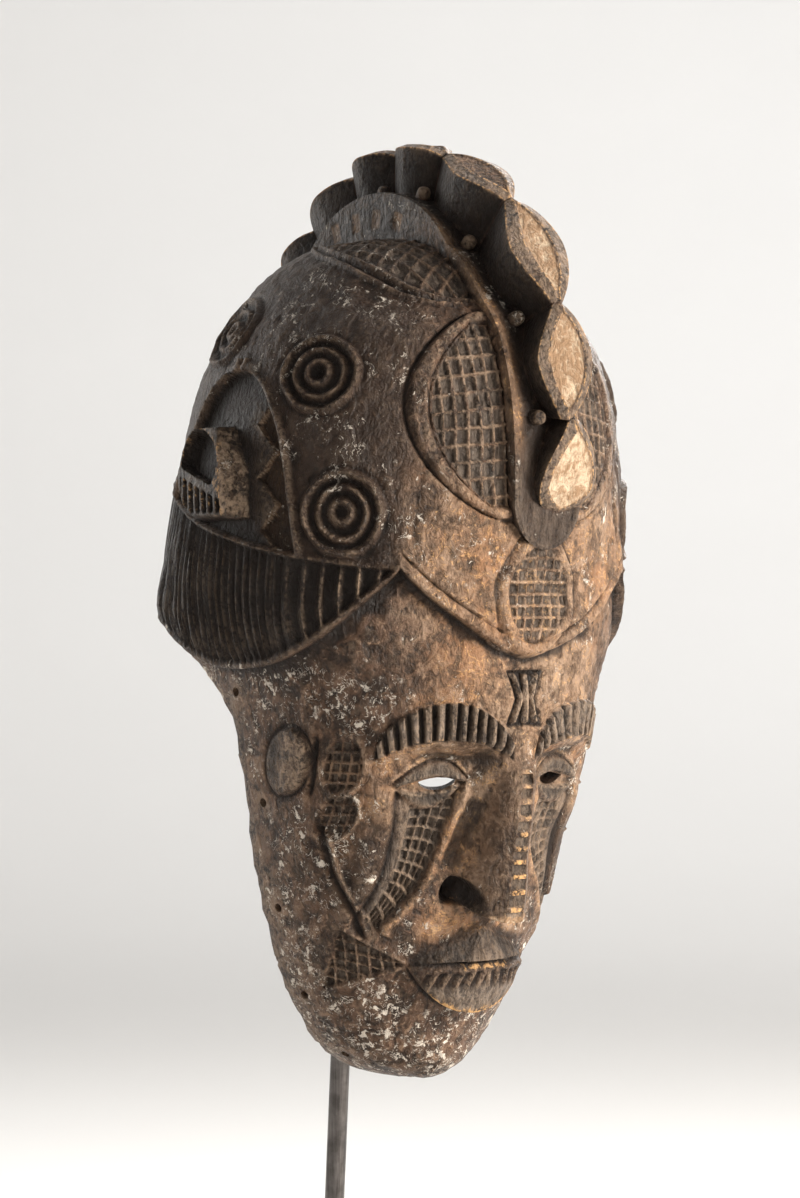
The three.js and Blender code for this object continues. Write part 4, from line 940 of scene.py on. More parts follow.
def buildSide():
    cell = headShape["cellSize"]
    fine = np.arange(0, headShape["carvedTo"], math.degrees(cell / 110))
    angles = np.concatenate([fine, np.linspace(headShape["carvedTo"], 180, headShape["columnsBehind"])])
    rows = np.linspace(0, fullLength, int(fullLength / cell))[1:-1]
    points, carved = carvedSkin(angles[None, :], rows[:, None])
    points[:, 0, 0] = 0
    points[:, -1, 0] = 0
    count, around = points.shape[:2]
    ends = skinPoint(np.array([0.0, 0.0]), np.array([0.0, fullLength]))
    here = (np.arange(count - 1)[:, None] * around + np.arange(around - 1)).ravel()
    first = np.stack([here, here + around + 1, here + 1], -1)
    second = np.stack([here, here + around, here + around + 1], -1)
    edge = np.arange(around - 1)
    last = (count - 1) * around + edge
    bottom, top = np.full(around - 1, count * around), np.full(around - 1, count * around + 1)
    below, above = np.stack([bottom, edge, edge + 1], -1), np.stack([last, top, last + 1], -1)
    triangles = np.concatenate([first, second, below, above])
    flat = np.concatenate([points.reshape(-1, 3), ends])
    paint = {name: np.concatenate([carved[name].ravel(), [0, 0]]) for name in paintNames}
    side = makePiece("side", toWorld(flat), triangles, paint)
    return thinned(side, headShape["keptTriangles"])


handCarved = {
    "aside": 2.2, "barsAside": 4.6, "barsFrom": 174, "reach": 30, "foot": 70, "top": 222, "inFrontOf": 40,
}


def bothSides(side):  # the second side is the first one's mirror image, sewn to it down the middle
    mesh = side.data
    points, triangles = pointsOf(mesh), trianglesOf(mesh)
    edgeUse = np.concatenate([triangles[:, [0, 1]], triangles[:, [1, 2]], triangles[:, [2, 0]]])
    unique, uses = np.unique(np.sort(edgeUse, axis=1), axis=0, return_counts=True)
    seam = np.unique(unique[uses == 1])
    points[seam, 0] = 0
    isSeam = np.zeros(len(points), dtype=bool)
    isSeam[seam] = True
    others = np.flatnonzero(~isSeam)
    twin = np.arange(len(points))
    twin[others] = len(points) + np.arange(len(others))
    allPoints = np.concatenate([points, points[others] * [-1, 1, 1]])
    # The nose and the bars over it stand a little to one side, as the hand left them.
    local = fromWorld(allPoints)
    barsMore = handCarved["barsAside"] - handCarved["aside"]
    aside = handCarved["aside"] + barsMore * rise(local[:, 2] - handCarved["barsFrom"], 8)
    moved = aside * (1 - rise(np.abs(local[:, 0]) - handCarved["reach"], 14))
    moved *= local[:, 1] > handCarved["inFrontOf"]
    moved *= rise(local[:, 2] - handCarved["foot"], 14) * rise(handCarved["top"] - local[:, 2], 12)
    allPoints[:, 0] -= moved / 1000
    allTriangles = np.concatenate([triangles, twin[triangles][:, ::-1]])
    paint = {}
    for name in paintNames:
        values = valuesOf(mesh, name)
        paint[name] = np.concatenate([values, values[others]])
    bpy.data.objects.remove(side)
    return makePiece("mask_carved", allPoints, allTriangles, paint)


# The hollow keeps the wall's thickness, and its face shows the adze.
adze = {
    "width": 13, "depth": 0.9, "behindPits": 0.8, "around": 240, "upward": 200,
    "keptTriangles": 16000, "stain": 0.45, "kaolin": 0.12,
}


def buildHollow():
    around, upward = adze["around"], adze["upward"]
    angles = np.linspace(0, 360, around, endpoint=False)
    rows = np.linspace(0, fullLength, upward)[1:-1]
    mirrored = np.where(angles > 180, 360 - angles, angles)
    side = np.where(angles > 180, -1, 1)
    point = skinPoint(mirrored[None, :], rows[:, None])
    normal = skinNormal(mirrored[None, :], rows[:, None])
    cuts = adze["depth"] * noiseAt(point * [1, 1, 0.5], adze["width"], 16) + 0.3 * noiseAt(point, 5, 17)
    section = sectionAt(rows[:, None])
    s = np.radians(mirrored[None, :]) * (section[1] + section[2]) / 2
    cuts += adze["behindPits"] * cheekSink(s - 3, point[..., 2] - 4)
    point = point - normal * (headShape["wall"] + cuts)[..., None]
    point[..., 0] *= side
    bottom = skinPoint(np.array([0.0]), np.array([0.0])) + [0, 0, headShape["wall"]]
    top = skinPoint(np.array([0.0]), np.array([fullLength])) - [0, 0, headShape["wall"]]
    triangles = ringStrip(point, closedEnds=False)[:, ::-1]
    count = point.shape[0] * around
    step = np.arange(around)
    below = np.stack([np.full(around, count), step, (step + 1) % around], -1)
    last = (point.shape[0] - 1) * around
    above = np.stack([np.full(around, count + 1), last + (step + 1) % around, last + step], -1)
    allTriangles = np.concatenate([triangles, below, above])
    flat = np.concatenate([point.reshape(-1, 3), bottom, top])
    paint = noPaint(len(flat))
    paint["stain"] += adze["stain"]
    paint["kaolin"] += adze["kaolin"]
    return makePiece("hollow", toWorld(flat), allTriangles, paint)


# The strap carries the crest. It follows the head and swells into a hump over the crown.
crest = {
    "w": 8, "z": 334, "radius": 128.5, "root": 80, "halfWidth": 13, "dropHalfWidth": 16.5,
    "tipHalfWidth": 2.2, "dressed": 3, "bevel": 2.0, "sunk": 1.0, "undercut": 0.22,
    "dropFrom": 100, "backDrop": 0.2, "lean": 0.06, "dropAside": -4.5,
    # degrees round the crest's centre at which one block ends and the next begins, 90 is up
    "blockEnds": [-27, -6.6, 19, 48.6, 74, 91.5, 108, 128, 145, 166, 188],
    "dropUpTo": -6.6, "creamUpTo": 48, "brownUpTo": 74, "overlap": 0.15,
    # each shape's turn, the width of its lozenge in half widths, and which blocks have it
    "shapes": {
        "drop": (0, 0.76, [0]), "second": (0.3, 0.64, [1]), "third": (0.3, 0.46, [2]),
        "fourth": (0.22, 0.5, [3]), "even": (0.04, 0.5, [4, 6, 8]), "odd": (0.04, 0.5, [5, 7, 9]),
    },
}
hump = {
    "w": 12, "z": 366, "radius": 70,
    "dashes": [75, 86, 96.5, 107], "dashHalfWidth": 2.0, "dashFoot": 84.5, "dashTop": 94, "dashDepth": 0.5,
}

wayUp = np.linspace(0, fullLength, 400)
outline = np.concatenate([skinPoint(0.0, wayUp), skinPoint(180.0, wayUp[::-1])])
outlineAngles = np.degrees(np.arctan2(outline[:, 2] - crest["z"], outline[:, 1] - crest["w"]))
outlineAngles = np.where(outlineAngles < -90, outlineAngles + 360, outlineAngles)
outlineOrder = np.argsort(outlineAngles)
outlineDistances = np.hypot(outline[:, 2] - crest["z"], outline[:, 1] - crest["w"])


def headDistance(angle):
    return np.interp(angle, outlineAngles[outlineOrder], outlineDistances[outlineOrder])


def strapDistance(angle):
    forward, upward = hump["w"] - crest["w"], hump["z"] - crest["z"]
    toward = forward * np.cos(np.radians(angle)) + upward * np.sin(np.radians(angle))
    inner = toward**2 - forward**2 - upward**2 + hump["radius"] ** 2
    return np.maximum(headDistance(angle) + strap["height"], toward + np.sqrt(np.maximum(inner, 0)))


def boxSection(acrossTop, wallFoot, upWall):  # points round a box: across from -1 to 1, and up from 0 to 1
    top = np.linspace(1, -1, acrossTop)
    wall = np.concatenate([[0], np.linspace(wallFoot, 0.97, upWall)])
    across = np.concatenate([-np.ones(1), np.ones(len(wall)), top, -np.ones(len(wall) - 1)])
    up = np.concatenate([[0], wall, np.ones(len(top)), wall[:0:-1]])
    return across[None, :], up[None, :]


def buildStrap():
    share = np.linspace(0, 1, strap["steps"])
    share = share - 0.9 * np.sin(2 * np.pi * share) / (2 * np.pi)  # closer together at both ends
    angles = strap["start"] + (strap["end"] - strap["start"]) * share
    fromEnd = np.minimum(angles - strap["start"], strap["end"] - angles) / strap["roundEnd"]
    ending = 1 - np.clip(fromEnd, 0, 1)
    half = np.maximum(strap["halfWidth"] * np.sqrt(1 - ending**2), 1.5)
    across, up = boxSection(36, 0.16, 26)
    x = across * half[:, None]
    reach = strapDistance(angles)[:, None]
    toEdge = (1 - np.hypot(x / strap["halfWidth"], ending[:, None])) * strap["halfWidth"]
    onTop = up == 1
    bead = strap["bead"] * (ridge(toEdge - 1.8, 1.9) - 0.6 * ridge(toEdge - 4.6, 1.3)) * onTop
    distance = strap["root"] + (reach - strap["root"]) * up + bead
    # Short dashes are cut into the hump's side walls.
    turned = np.broadcast_to(angles[:, None], x.shape)
    dash = np.zeros(x.shape)
    for angle in hump["dashes"]:
        dash = np.maximum(dash, rise(hump["dashHalfWidth"] - np.abs(turned - angle), 0.3))
    dash = dash * rise(distance - hump["dashFoot"], 1) * rise(hump["dashTop"] - distance, 1) * ~onTop
    x = x - np.sign(x) * hump["dashDepth"] * dash
    radial = np.radians(turned)
    forward, upward = np.cos(radial), np.sin(radial)
    points = np.stack([x, crest["w"] + distance * forward, crest["z"] + distance * upward], -1)
    points += 0.35 * noiseAt(points, 12, 41)[..., None] * np.stack([x * 0, forward, upward], -1)
    paint = noPaint(x.size)
    lit = rise(strap["litUpTo"] - turned, 14)
    paintedShadeBesideCrest = rise(strap["besideCrest"] - np.abs(x), 3)
    lowerEnd = rise(strap["lowerEnd"] - turned, 6) * onTop
    # Painted shade: beside the crest the strap's top is stained darker, where the crest's shade falls.
    stain = (0.9 - 0.65 * lit) * np.where(onTop, 1, 0.85) + 0.6 * paintedShadeBesideCrest * onTop * (1 - lowerEnd)
    paint["stain"] = (np.clip(stain, 0, 1) * (1 - dash)).ravel()
    paint["warm"] = np.maximum(0.75 * lit * onTop * (1 - paintedShadeBesideCrest) * (1 - lowerEnd), 0.5 * dash).ravel()
    paint["rib"] = (0.12 * ridge(toEdge - 1.8, 1.9) * lit * onTop).ravel()
    paint["rib"] += 0.3 * dash.ravel()
    paint["pit"] = (0.35 * lowerEnd).ravel()
    paint["dark"] += 1.0
    paint["kaolin"] += strap["kaolin"]
    return thinned(ringPiece("strap", points, paint), strap["keptTriangles"])


# One crest block laid out straight: x across in half widths, y along in block lengths
# and z the distance from the crest's centre. The blocks are lenses, the lowest one a drop.
blockShape = {
    "steps": 46, "widest": 0.5, "dropWidest": 0.32, "fullness": 1.7, "lozengeLength": 0.84,
    "lozengeFullness": 1.9,
}


def unitBlock(name, turned, lozengeShare, isDrop):
    y = np.linspace(0, 1, blockShape["steps"])
    widest = blockShape["dropWidest"] if isDrop else blockShape["widest"]
    off = np.where(y < widest, (widest - y) / widest, (y - widest) / (1 - widest))
    pointed = 1 - off ** blockShape["fullness"]
    blunt = np.sqrt(np.maximum(1 - off**2, 0)) if isDrop else pointed
    lens = np.where(y < widest, blunt, pointed)
    tip = crest["tipHalfWidth"] / crest["halfWidth"]
    half = tip + (1 - tip) * lens
    offInner = np.clip(off / blockShape["lozengeLength"], 0, 1)
    lozenge = lozengeShare * (1 - offInner ** blockShape["lozengeFullness"]) + 1e-3
    across, up = boxSection(30, 0.35, 12)
    x = across * half[:, None]
    inLozenge = (lozenge[:, None] - np.abs(x)) * crest["halfWidth"]  # in millimetres
    outward = np.clip(-inLozenge / np.maximum((half - lozenge)[:, None] * crest["halfWidth"], 0.5), 0, 1)
    onTop = up == 1
    face = crest["radius"] - crest["dressed"] * (2 * y[:, None] - 1) ** 4
    inside = rise(inLozenge, 0.5) * onTop
    face = face - crest["bevel"] * outward - crest["sunk"] * inside
    face = face - turned * crest["halfWidth"] * (x + half[:, None])
    z = crest["root"] + (face - crest["root"]) * up
    x = x * (1 - crest["undercut"] * (1 - up) / 0.5 * (up > 0.5))
    x = np.where(up <= 0.5, x * (1 - crest["undercut"]), x)
    points = np.stack([x, np.broadcast_to(y[:, None] - 0.5, x.shape), z], -1)
    paint = noPaint(x.size)
    paint["stain"] = (np.where(onTop, 0.12, 1.0) * (1 - inside)).ravel()
    paint["pit"] = (0.6 * onTop * (1 - inside)).ravel()
    paint["rib"] = (0.45 * onTop * (1 - inside)).ravel()
    paint["cream"] = inside.ravel()
    rims = np.maximum(0.7 * ridge(inLozenge + 0.6, 1.1), 0.75 * ridge((1 - outward) * 4, 0.9))
    paint["gold"] = (onTop * rims).ravel()
    return makePiece(name, points.reshape(-1, 3), ringStrip(points), paint)


# A peg stands where two blocks meet, on either side.
peg = {"radius": 3.6, "height": 9, "sideways": 9, "sunk": 3}


def unitPeg():
    turn = -np.linspace(0, 2 * np.pi, 20, endpoint=False)
    profile = [(1, 0), (0.97, 0.5), (0.9, 0.75), (0.72, 0.92), (0.4, 0.99), (0.12, 1)]
    rings = np.array([[(r * math.cos(a), r * math.sin(a), h) for a in turn] for r, h in profile])
    paint = noPaint(len(profile) * len(turn))
    paint["kaolin"] += 0.1
    paint["stain"] += 0.8
    paint["cream"] = np.repeat([0, 0, 0, 0.15, 0.35, 0.35], len(turn)).astype(float)
    return makePiece("unit_peg", rings.reshape(-1, 3), ringStrip(rings), paint)


# Geometry Nodes helpers.
def addNode(tree, kind, inputs=None, **settings):
    node = tree.nodes.new(kind)
    for key, value in settings.items():
        setattr(node, key, value)
    for key, value in (inputs or {}).items():
        if isinstance(value, bpy.types.NodeSocket):
            tree.links.new(value, node.inputs[key])
        else:
            node.inputs[key].default_value = value
    return node


def calculate(tree, operation, first, second=None, clamp=False):
    inputs = {0: first} if second is None else {0: first, 1: second}
    return addNode(tree, "ShaderNodeMath", inputs, operation=operation, use_clamp=clamp).outputs[0]


def times(tree, *factors):
    product = factors[0]
    for factor in factors[1:]:
        product = calculate(tree, "MULTIPLY", product, factor)
    return product


def newGeometryTree(name, sizes):
    tree = bpy.data.node_groups.new(name, "GeometryNodeTree")
    tree.interface.new_socket("Geometry", in_out="INPUT", socket_type="NodeSocketGeometry")
    for label, (kind, value) in sizes.items():
        socket = tree.interface.new_socket(label, in_out="INPUT", socket_type="NodeSocket" + kind)
        if value is not None:
            socket.default_value = value
    tree.interface.new_socket("Geometry", in_out="OUTPUT", socket_type="NodeSocketGeometry")
    return tree, tree.nodes.new("NodeGroupInput").outputs, tree.nodes.new("NodeGroupOutput").inputs


def seatPoints(name, places, attributes):  # loose points that a tree puts its instances on
    mesh = bpy.data.meshes.new(name)
    mesh.from_pydata([tuple(place) for place in places], [], [])
    for label, values in attributes.items():
        attribute = mesh.attributes.new(label, "FLOAT_VECTOR", "POINT")
        attribute.data.foreach_set("vector", np.array(values, dtype=np.float32).ravel())
    return addObject(name, mesh)


def grow(seats, tree, values):  # runs a tree on an object and keeps the plain mesh
    modifier = seats.modifiers.new("grow", "NODES")
    modifier.node_group = tree
    for item in tree.interface.items_tree:
        if item.in_out == "INPUT" and item.name in values:
            modifier[item.identifier] = values[item.name]
    return applied(seats)


def makeBendTree():  # sets copies of a shape side by side, then bends the row round the crest's centre
    tree, given, result = newGeometryTree("round the crest", {
        "Shape": ("Object", None), "Centre Forward": ("Float", 8.0), "Centre Height": ("Float", 504.0),
        "Drop From": ("Float", 100.0), "Back Drop": ("Float", 0.2), "Lean": ("Float", 0.1),
        "Lean From": ("Float", 84.0), "Material": ("Material", None),
    })
    shape = addNode(tree, "GeometryNodeObjectInfo", {"Object": given["Shape"]})
    size = addNode(tree, "GeometryNodeInputNamedAttribute", {"Name": "size"}, data_type="FLOAT_VECTOR")
    copies = addNode(tree, "GeometryNodeInstanceOnPoints", {
        "Points": given["Geometry"], "Instance": shape.outputs["Geometry"],
        "Scale": size.outputs["Attribute"]})
    real = addNode(tree, "GeometryNodeRealizeInstances", {"Geometry": copies.outputs["Instances"]})
    position = addNode(tree, "GeometryNodeInputPosition").outputs[0]
    x, turn, height = addNode(tree, "ShaderNodeSeparateXYZ", {0: position}).outputs[:3]
    angle = calculate(tree, "RADIANS", turn)
    past = calculate(tree, "MAXIMUM", calculate(tree, "SUBTRACT", turn, given["Drop From"]), 0.0)
    reach = calculate(tree, "SUBTRACT", height, times(tree, past, given["Back Drop"]))
    forward = times(tree, reach, calculate(tree, "COSINE", angle))
    forward = calculate(tree, "ADD", forward, given["Centre Forward"])
    upward = times(tree, reach, calculate(tree, "SINE", angle))
    upward = calculate(tree, "ADD", upward, given["Centre Height"])
    leaning = calculate(tree, "MAXIMUM", calculate(tree, "SUBTRACT", height, given["Lean From"]), 0.0)
    sideways = calculate(tree, "SUBTRACT", x, times(tree, leaning, given["Lean"]))
    bent = addNode(tree, "ShaderNodeCombineXYZ", {
        0: times(tree, sideways, -0.001), 1: times(tree, forward, -0.001), 2: times(tree, upward, 0.001)})
    moved = addNode(tree, "GeometryNodeSetPosition", {
        "Geometry": real.outputs["Geometry"], "Position": bent.outputs[0]})
    painted = addNode(tree, "GeometryNodeSetMaterial", {
        "Geometry": moved.outputs["Geometry"], "Material": given["Material"]})
    tree.links.new(painted.outputs["Geometry"], result["Geometry"])
    return tree


def growRoundCrest(name, tree, shape, places, sizes, material):
    return grow(seatPoints(name, places, {"size": sizes}), tree, {
        "Shape": shape, "Centre Forward": float(crest["w"]),
        "Centre Height": float(crest["z"] + chinHeight), "Drop From": float(crest["dropFrom"]),
        "Back Drop": crest["backDrop"], "Lean": crest["lean"],
        "Lean From": float(crest["root"] + 4), "Material": material})


def buildCrest(material):
    tree = makeBendTree()
    ends = crest["blockEnds"]
    pegShape = unitPeg()
    rows = []
    for name, (turned, lozenge, chosen) in crest["shapes"].items():
        isDrop = name == "drop"
        shape = unitBlock("unit_" + name, turned, lozenge, isDrop)
        aside = crest["dropAside"] if isDrop else 0
        half = crest["dropHalfWidth"] if isDrop else crest["halfWidth"]
        places = [(aside, (ends[i] + ends[i + 1]) / 2, 0) for i in chosen]
        sizes = [(half, ends[i + 1] - ends[i] + crest["overlap"], 1) for i in chosen]
        rows.append(growRoundCrest(name, tree, shape, places, sizes, material))
        bpy.data.objects.remove(shape)
    places, sizes = [], []
    for angle in ends[1:-2]:
        foot = float(strapDistance(np.array(float(angle)))) - peg["sunk"]
        for side in (-1, 1):
            places.append((side * peg["sideways"], angle, foot))
            sizes.append((peg["radius"], math.degrees(peg["radius"] / foot), peg["height"]))
    rows.append(growRoundCrest("pegs", tree, pegShape, places, sizes, material))
    bpy.data.objects.remove(pegShape)
    return rows


# Cutters: what lies behind the rim, the eye slits and the holes along the rim.
rimHoles = {
    "diameter": 4.5, "depth": 52,
    "places": [(112, 216), (88, 192), (84, 139), (83, 88), (80, 45), (74.5, 14)],  # angle and height
}
rimCut = {  # places forward and up: the cut runs straight up, then bends back and out behind
    "forward": -6, "bend": [(-6, 174), (-9, 188), (-24, 198), (-38, 212), (-60, 218)],
    "behind": -150, "behindTop": 228, "foot": -30, "halfWidth": 150, "unevenness": 0.5,
}
slit = {
    "inner": -26, "outer": 16, "rings": 20, "around": 36, "widensFrom": -9, "widening": 0.025,
    "unevenness": 0.25, "stain": 0.8,
}


def curveThrough(start, control, end, steps=14):
    share = np.linspace(0, 1, steps)[1:, None]
    return (1 - share) ** 2 * start + 2 * share * (1 - share) * control + share**2 * end


def rimBend():
    corners = np.array(rimCut["bend"], dtype=float)
    return np.concatenate([curveThrough(*corners[:3]), curveThrough(*corners[2:])])


def behindRim():
    foot, behind = rimCut["foot"], rimCut["behind"]
    upward = np.linspace(foot, rimCut["bend"][0][1], 40)
    straight = np.stack([np.full(40, float(rimCut["forward"])), upward], -1)
    line = np.concatenate([straight, rimBend(), [[behind, rimCut["behindTop"]], [behind, foot]]])
    cut = line[:-2]
    cut[:, 0] += rimCut["unevenness"] * noiseAt(np.stack([cut[:, 0], cut[:, 1], cut[:, 0] * 0], -1), 30, 51)
    rings = np.array([[(u, w, z) for w, z in line] for u in (-rimCut["halfWidth"], rimCut["halfWidth"])])
    return ringPiece("behind_rim", rings)


def eyeSlits():
    t = lengthAtHeight(eye["z"])
    angle = math.degrees(eye["s"] / float(sum(sectionAt(t)[1:3]) / 2))
    centre, normal = skinPoint(np.array(angle), t), skinNormal(np.array(angle), t)
    level = np.cross([0, 0, 1], normal)
    level /= np.linalg.norm(level)
    upright = np.cross(normal, level)
    turn = np.linspace(0, 2 * np.pi, slit["around"], endpoint=False)
    rings = []
    for depth in np.linspace(slit["inner"], slit["outer"], slit["rings"]):
        grown = 1 + slit["widening"] * np.maximum(slit["widensFrom"] - depth, 0)
        across = eye["halfLength"] * grown * np.cos(turn)
        bow = np.sin(turn) * np.abs(np.sin(turn)) ** 0.4
        tall = np.where(bow > 0, eye["upper"], eye["lower"]) * grown * bow
        tall += slit["unevenness"] * noiseAt(np.stack([across, tall, across * 0 + depth], -1), 4, 52)
        rings.append(centre + across[:, None] * level + tall[:, None] * upright + depth * normal)
    rings = np.array(rings)
    mirrored = rings[:, ::-1] * [-1, 1, 1]
    triangles = ringStrip(rings)
    both = np.concatenate([rings.reshape(-1, 3), mirrored.reshape(-1, 3)])
    allTriangles = np.concatenate([triangles, triangles + rings.size // 3])
    paint = noPaint(len(both))
    paint["stain"] += slit["stain"]
    return makePiece("eye_slits", toWorld(both), allTriangles, paint)


def makeDrillTree():  # a round cutter at every point, along the point's facing
    tree, given, result = newGeometryTree("drilled holes", {
        "Diameter": ("Float", 0.0045), "Depth": ("Float", 0.05), "Material": ("Material", None)})
    radius = calculate(tree, "MULTIPLY", given["Diameter"], 0.5)
    bit = addNode(tree, "GeometryNodeMeshCylinder", {
        "Vertices": 16, "Radius": radius, "Depth": given["Depth"]})
    facing = addNode(tree, "GeometryNodeInputNamedAttribute", {"Name": "facing"}, data_type="FLOAT_VECTOR")
    turned = addNode(tree, "FunctionNodeAlignRotationToVector", {"Vector": facing.outputs["Attribute"]},
                     axis="Z")
    copies = addNode(tree, "GeometryNodeInstanceOnPoints", {
        "Points": given["Geometry"], "Instance": bit.outputs["Mesh"],
        "Rotation": turned.outputs["Rotation"]})
    real = addNode(tree, "GeometryNodeRealizeInstances", {"Geometry": copies.outputs["Instances"]})
    # Painted shade: the walls of the drilled holes are painted black.
    stained = addNode(tree, "GeometryNodeStoreNamedAttribute", {
        "Geometry": real.outputs["Geometry"], "Name": "stain", "Value": 1.0},
                      data_type="FLOAT", domain="POINT")
    painted = addNode(tree, "GeometryNodeSetMaterial", {
        "Geometry": stained.outputs["Geometry"], "Material": given["Material"]})
    tree.links.new(painted.outputs["Geometry"], result["Geometry"])
    return tree


def rimDrills(material):
    places, facings = [], []
    for angle, z in rimHoles["places"]:
        t = lengthAtHeight(z)
        for side in (-1, 1):
            centre = skinPoint(np.array(float(angle)), t) * [side, 1, 1]
            normal = skinNormal(np.array(float(angle)), t) * [side, 1, 1]
            places.append(toWorld(centre))
            facings.append(normal * [-1, -1, 1])
    return grow(seatPoints("rim_drills", places, {"facing": facings}), makeDrillTree(), {
        "Diameter": rimHoles["diameter"] / 1000, "Depth": rimHoles["depth"] / 1000, "Material": material})


# Sharp rims wear round. The relief's ridges take a dusty colour, and its hollows are darkened as painted
# shade.
finish = {
    "rimReach": 2.6, "straightUpTo": 178, "bendFrom": 165, "bendUpTo": 232, "rimPasses": 10, "rimStep": 0.5,
    "reliefPasses": 14, "reliefStep": 0.6, "fullRelief": 1.2, "sharpAbove": 58,
}
creamKept = {"drop": 0.95, "front": 0.62, "brown": 0.36, "back": 0.06}


def neighbourMean(values, edges, count):
    total = np.zeros_like(values)
    np.add.at(total, edges[:, 0], values[edges[:, 1]])
    np.add.at(total, edges[:, 1], values[edges[:, 0]])
    return total / np.maximum(count, 1)[:, None]


def weatherShapeAndMeasureShade(piece):
    mesh = piece.data
    points, edges = pointsOf(mesh), edgesOf(mesh)
    count = np.bincount(edges.ravel(), minlength=len(points))
    local = fromWorld(points)
    # The rim is where the cut behind the face meets the skin.
    forward, upward = local[:, 1], local[:, 2]
    onCut = (np.abs(forward - rimCut["forward"]) < finish["rimReach"]) & (upward < finish["straightUpTo"])
    onSlope = (forward < rimCut["forward"]) & (upward > finish["bendFrom"]) & (upward < finish["bendUpTo"])
    fromCurve = np.full(len(points), 99.0)
    bendEnd = rimCut["bend"][-1]
    outward = np.linspace(bendEnd[0], rimCut["behind"], 20)
    climb = np.linspace(bendEnd[1], rimCut["behindTop"], 20)
    bend = np.concatenate([rimBend(), np.stack([outward, climb], -1)])
    chosen = np.flatnonzero(onSlope)
    away = np.hypot(forward[chosen, None] - bend[None, :, 0], upward[chosen, None] - bend[None, :, 1])
    fromCurve[chosen] = away.min(axis=1)
    rim = onCut | (fromCurve < finish["rimReach"])
    for _ in range(finish["rimPasses"]):
        moved = neighbourMean(points, edges, count)
        points[rim] += finish["rimStep"] * (moved[rim] - points[rim])
    mesh.vertices.foreach_set("co", points.astype(np.float32).ravel())
    mesh.update()
    normals = np.empty(3 * len(points), dtype=np.float32)
    mesh.vertex_normals.foreach_get("vector", normals)
    normals = normals.reshape(-1, 3)
    smoothed = points.copy()
    for _ in range(finish["reliefPasses"]):
        smoothed += finish["reliefStep"] * (neighbourMean(smoothed, edges, count) - smoothed)
    proud = np.einsum("ij,ij->i", points - smoothed, normals) * 1000
    addValues(mesh, "edge", np.clip(proud / finish["fullRelief"], 0, 1))
    # Painted shade: the hollow measure darkens the wood's colour in the relief's hollows.
    addValues(mesh, "hollow", np.clip(-proud / finish["fullRelief"], 0, 1))


def fadeBackCream(piece):  # only the front blocks show bare wood
    mesh = piece.data
    local = fromWorld(pointsOf(mesh))
    angle = np.degrees(np.arctan2(local[:, 2] - crest["z"], local[:, 1] - crest["w"]))
    angle = np.where(angle < -90, angle + 360, angle)
    kept = np.where(angle < crest["brownUpTo"], creamKept["brown"], creamKept["back"])
    kept = np.where(angle < crest["creamUpTo"], creamKept["front"], kept)
    kept = np.where(angle < crest["dropUpTo"], creamKept["drop"], kept)
    cream = (valuesOf(mesh, "cream") * kept).astype(np.float32)
    mesh.attributes["cream"].data.foreach_set("value", cream)


def buildMask(material):
    skin = bothSides(buildSide())
    print("stage 1: carved skin", len(skin.data.polygons))
    skin = joined(skin, buildStrap(), "UNION")
    for row in buildCrest(material):
        skin = joined(skin, row, "UNION")
    print("stage 2: strap, crest blocks and pegs", len(skin.data.polygons))
    hollow = thinned(buildHollow(), adze["keptTriangles"])
    for cutter in (hollow, behindRim(), eyeSlits(), rimDrills(material)):
        skin = joined(skin, cutter, "DIFFERENCE")
    print("stage 3: hollow, rim, eyes and holes", len(skin.data.polygons))
    fadeBackCream(skin)
    weatherShapeAndMeasureShade(skin)
    return finished(skin, finish["sharpAbove"], material)


# Shader helpers.
def mixColour(tree, factor, first, second, blend="MIX"):
    node = tree.nodes.new("ShaderNodeMix")
    node.data_type = "RGBA"
    node.blend_type = blend
    for index, value in ((0, factor), (6, first), (7, second)):
        if isinstance(value, bpy.types.NodeSocket):
            tree.links.new(value, node.inputs[index])
        else:
            node.inputs[index].default_value = value
    return node.outputs[2]


def stepped(tree, value, low, high):  # 0 below low, 1 above high, smooth between
    node = addNode(tree, "ShaderNodeMapRange", {"Value": value, "From Min": low, "From Max": high},
                   interpolation_type="SMOOTHSTEP")
    return node.outputs["Result"]


def noise(tree, vector, scale, detail, roughness, distortion=0.0):
    node = addNode(tree, "ShaderNodeTexNoise", {
        "Vector": vector, "Scale": scale, "Detail": detail, "Roughness": roughness, "Distortion": distortion})
    return node.outputs["Fac"]


def stretched(tree, vector, upward):
    return addNode(tree, "ShaderNodeMapping", {"Vector": vector, "Scale": (1, 1, upward)}).outputs[0]


def addBump(tree, shader, height, strength, distance):
    bump = addNode(tree, "ShaderNodeBump", {"Strength": strength, "Distance": distance, "Height": height})
    tree.links.new(bump.outputs["Normal"], shader.inputs["Normal"])


def paintOf(tree, name):
    return addNode(tree, "ShaderNodeAttribute", attribute_name=name).outputs["Fac"]


def newMaterial(name):
    material = bpy.data.materials.new(name)
    material.use_nodes = True
    tree = material.node_tree
    shader = tree.nodes["Principled BSDF"]
    coords = addNode(tree, "ShaderNodeTexCoord").outputs["Object"]
    return material, tree, shader, coords


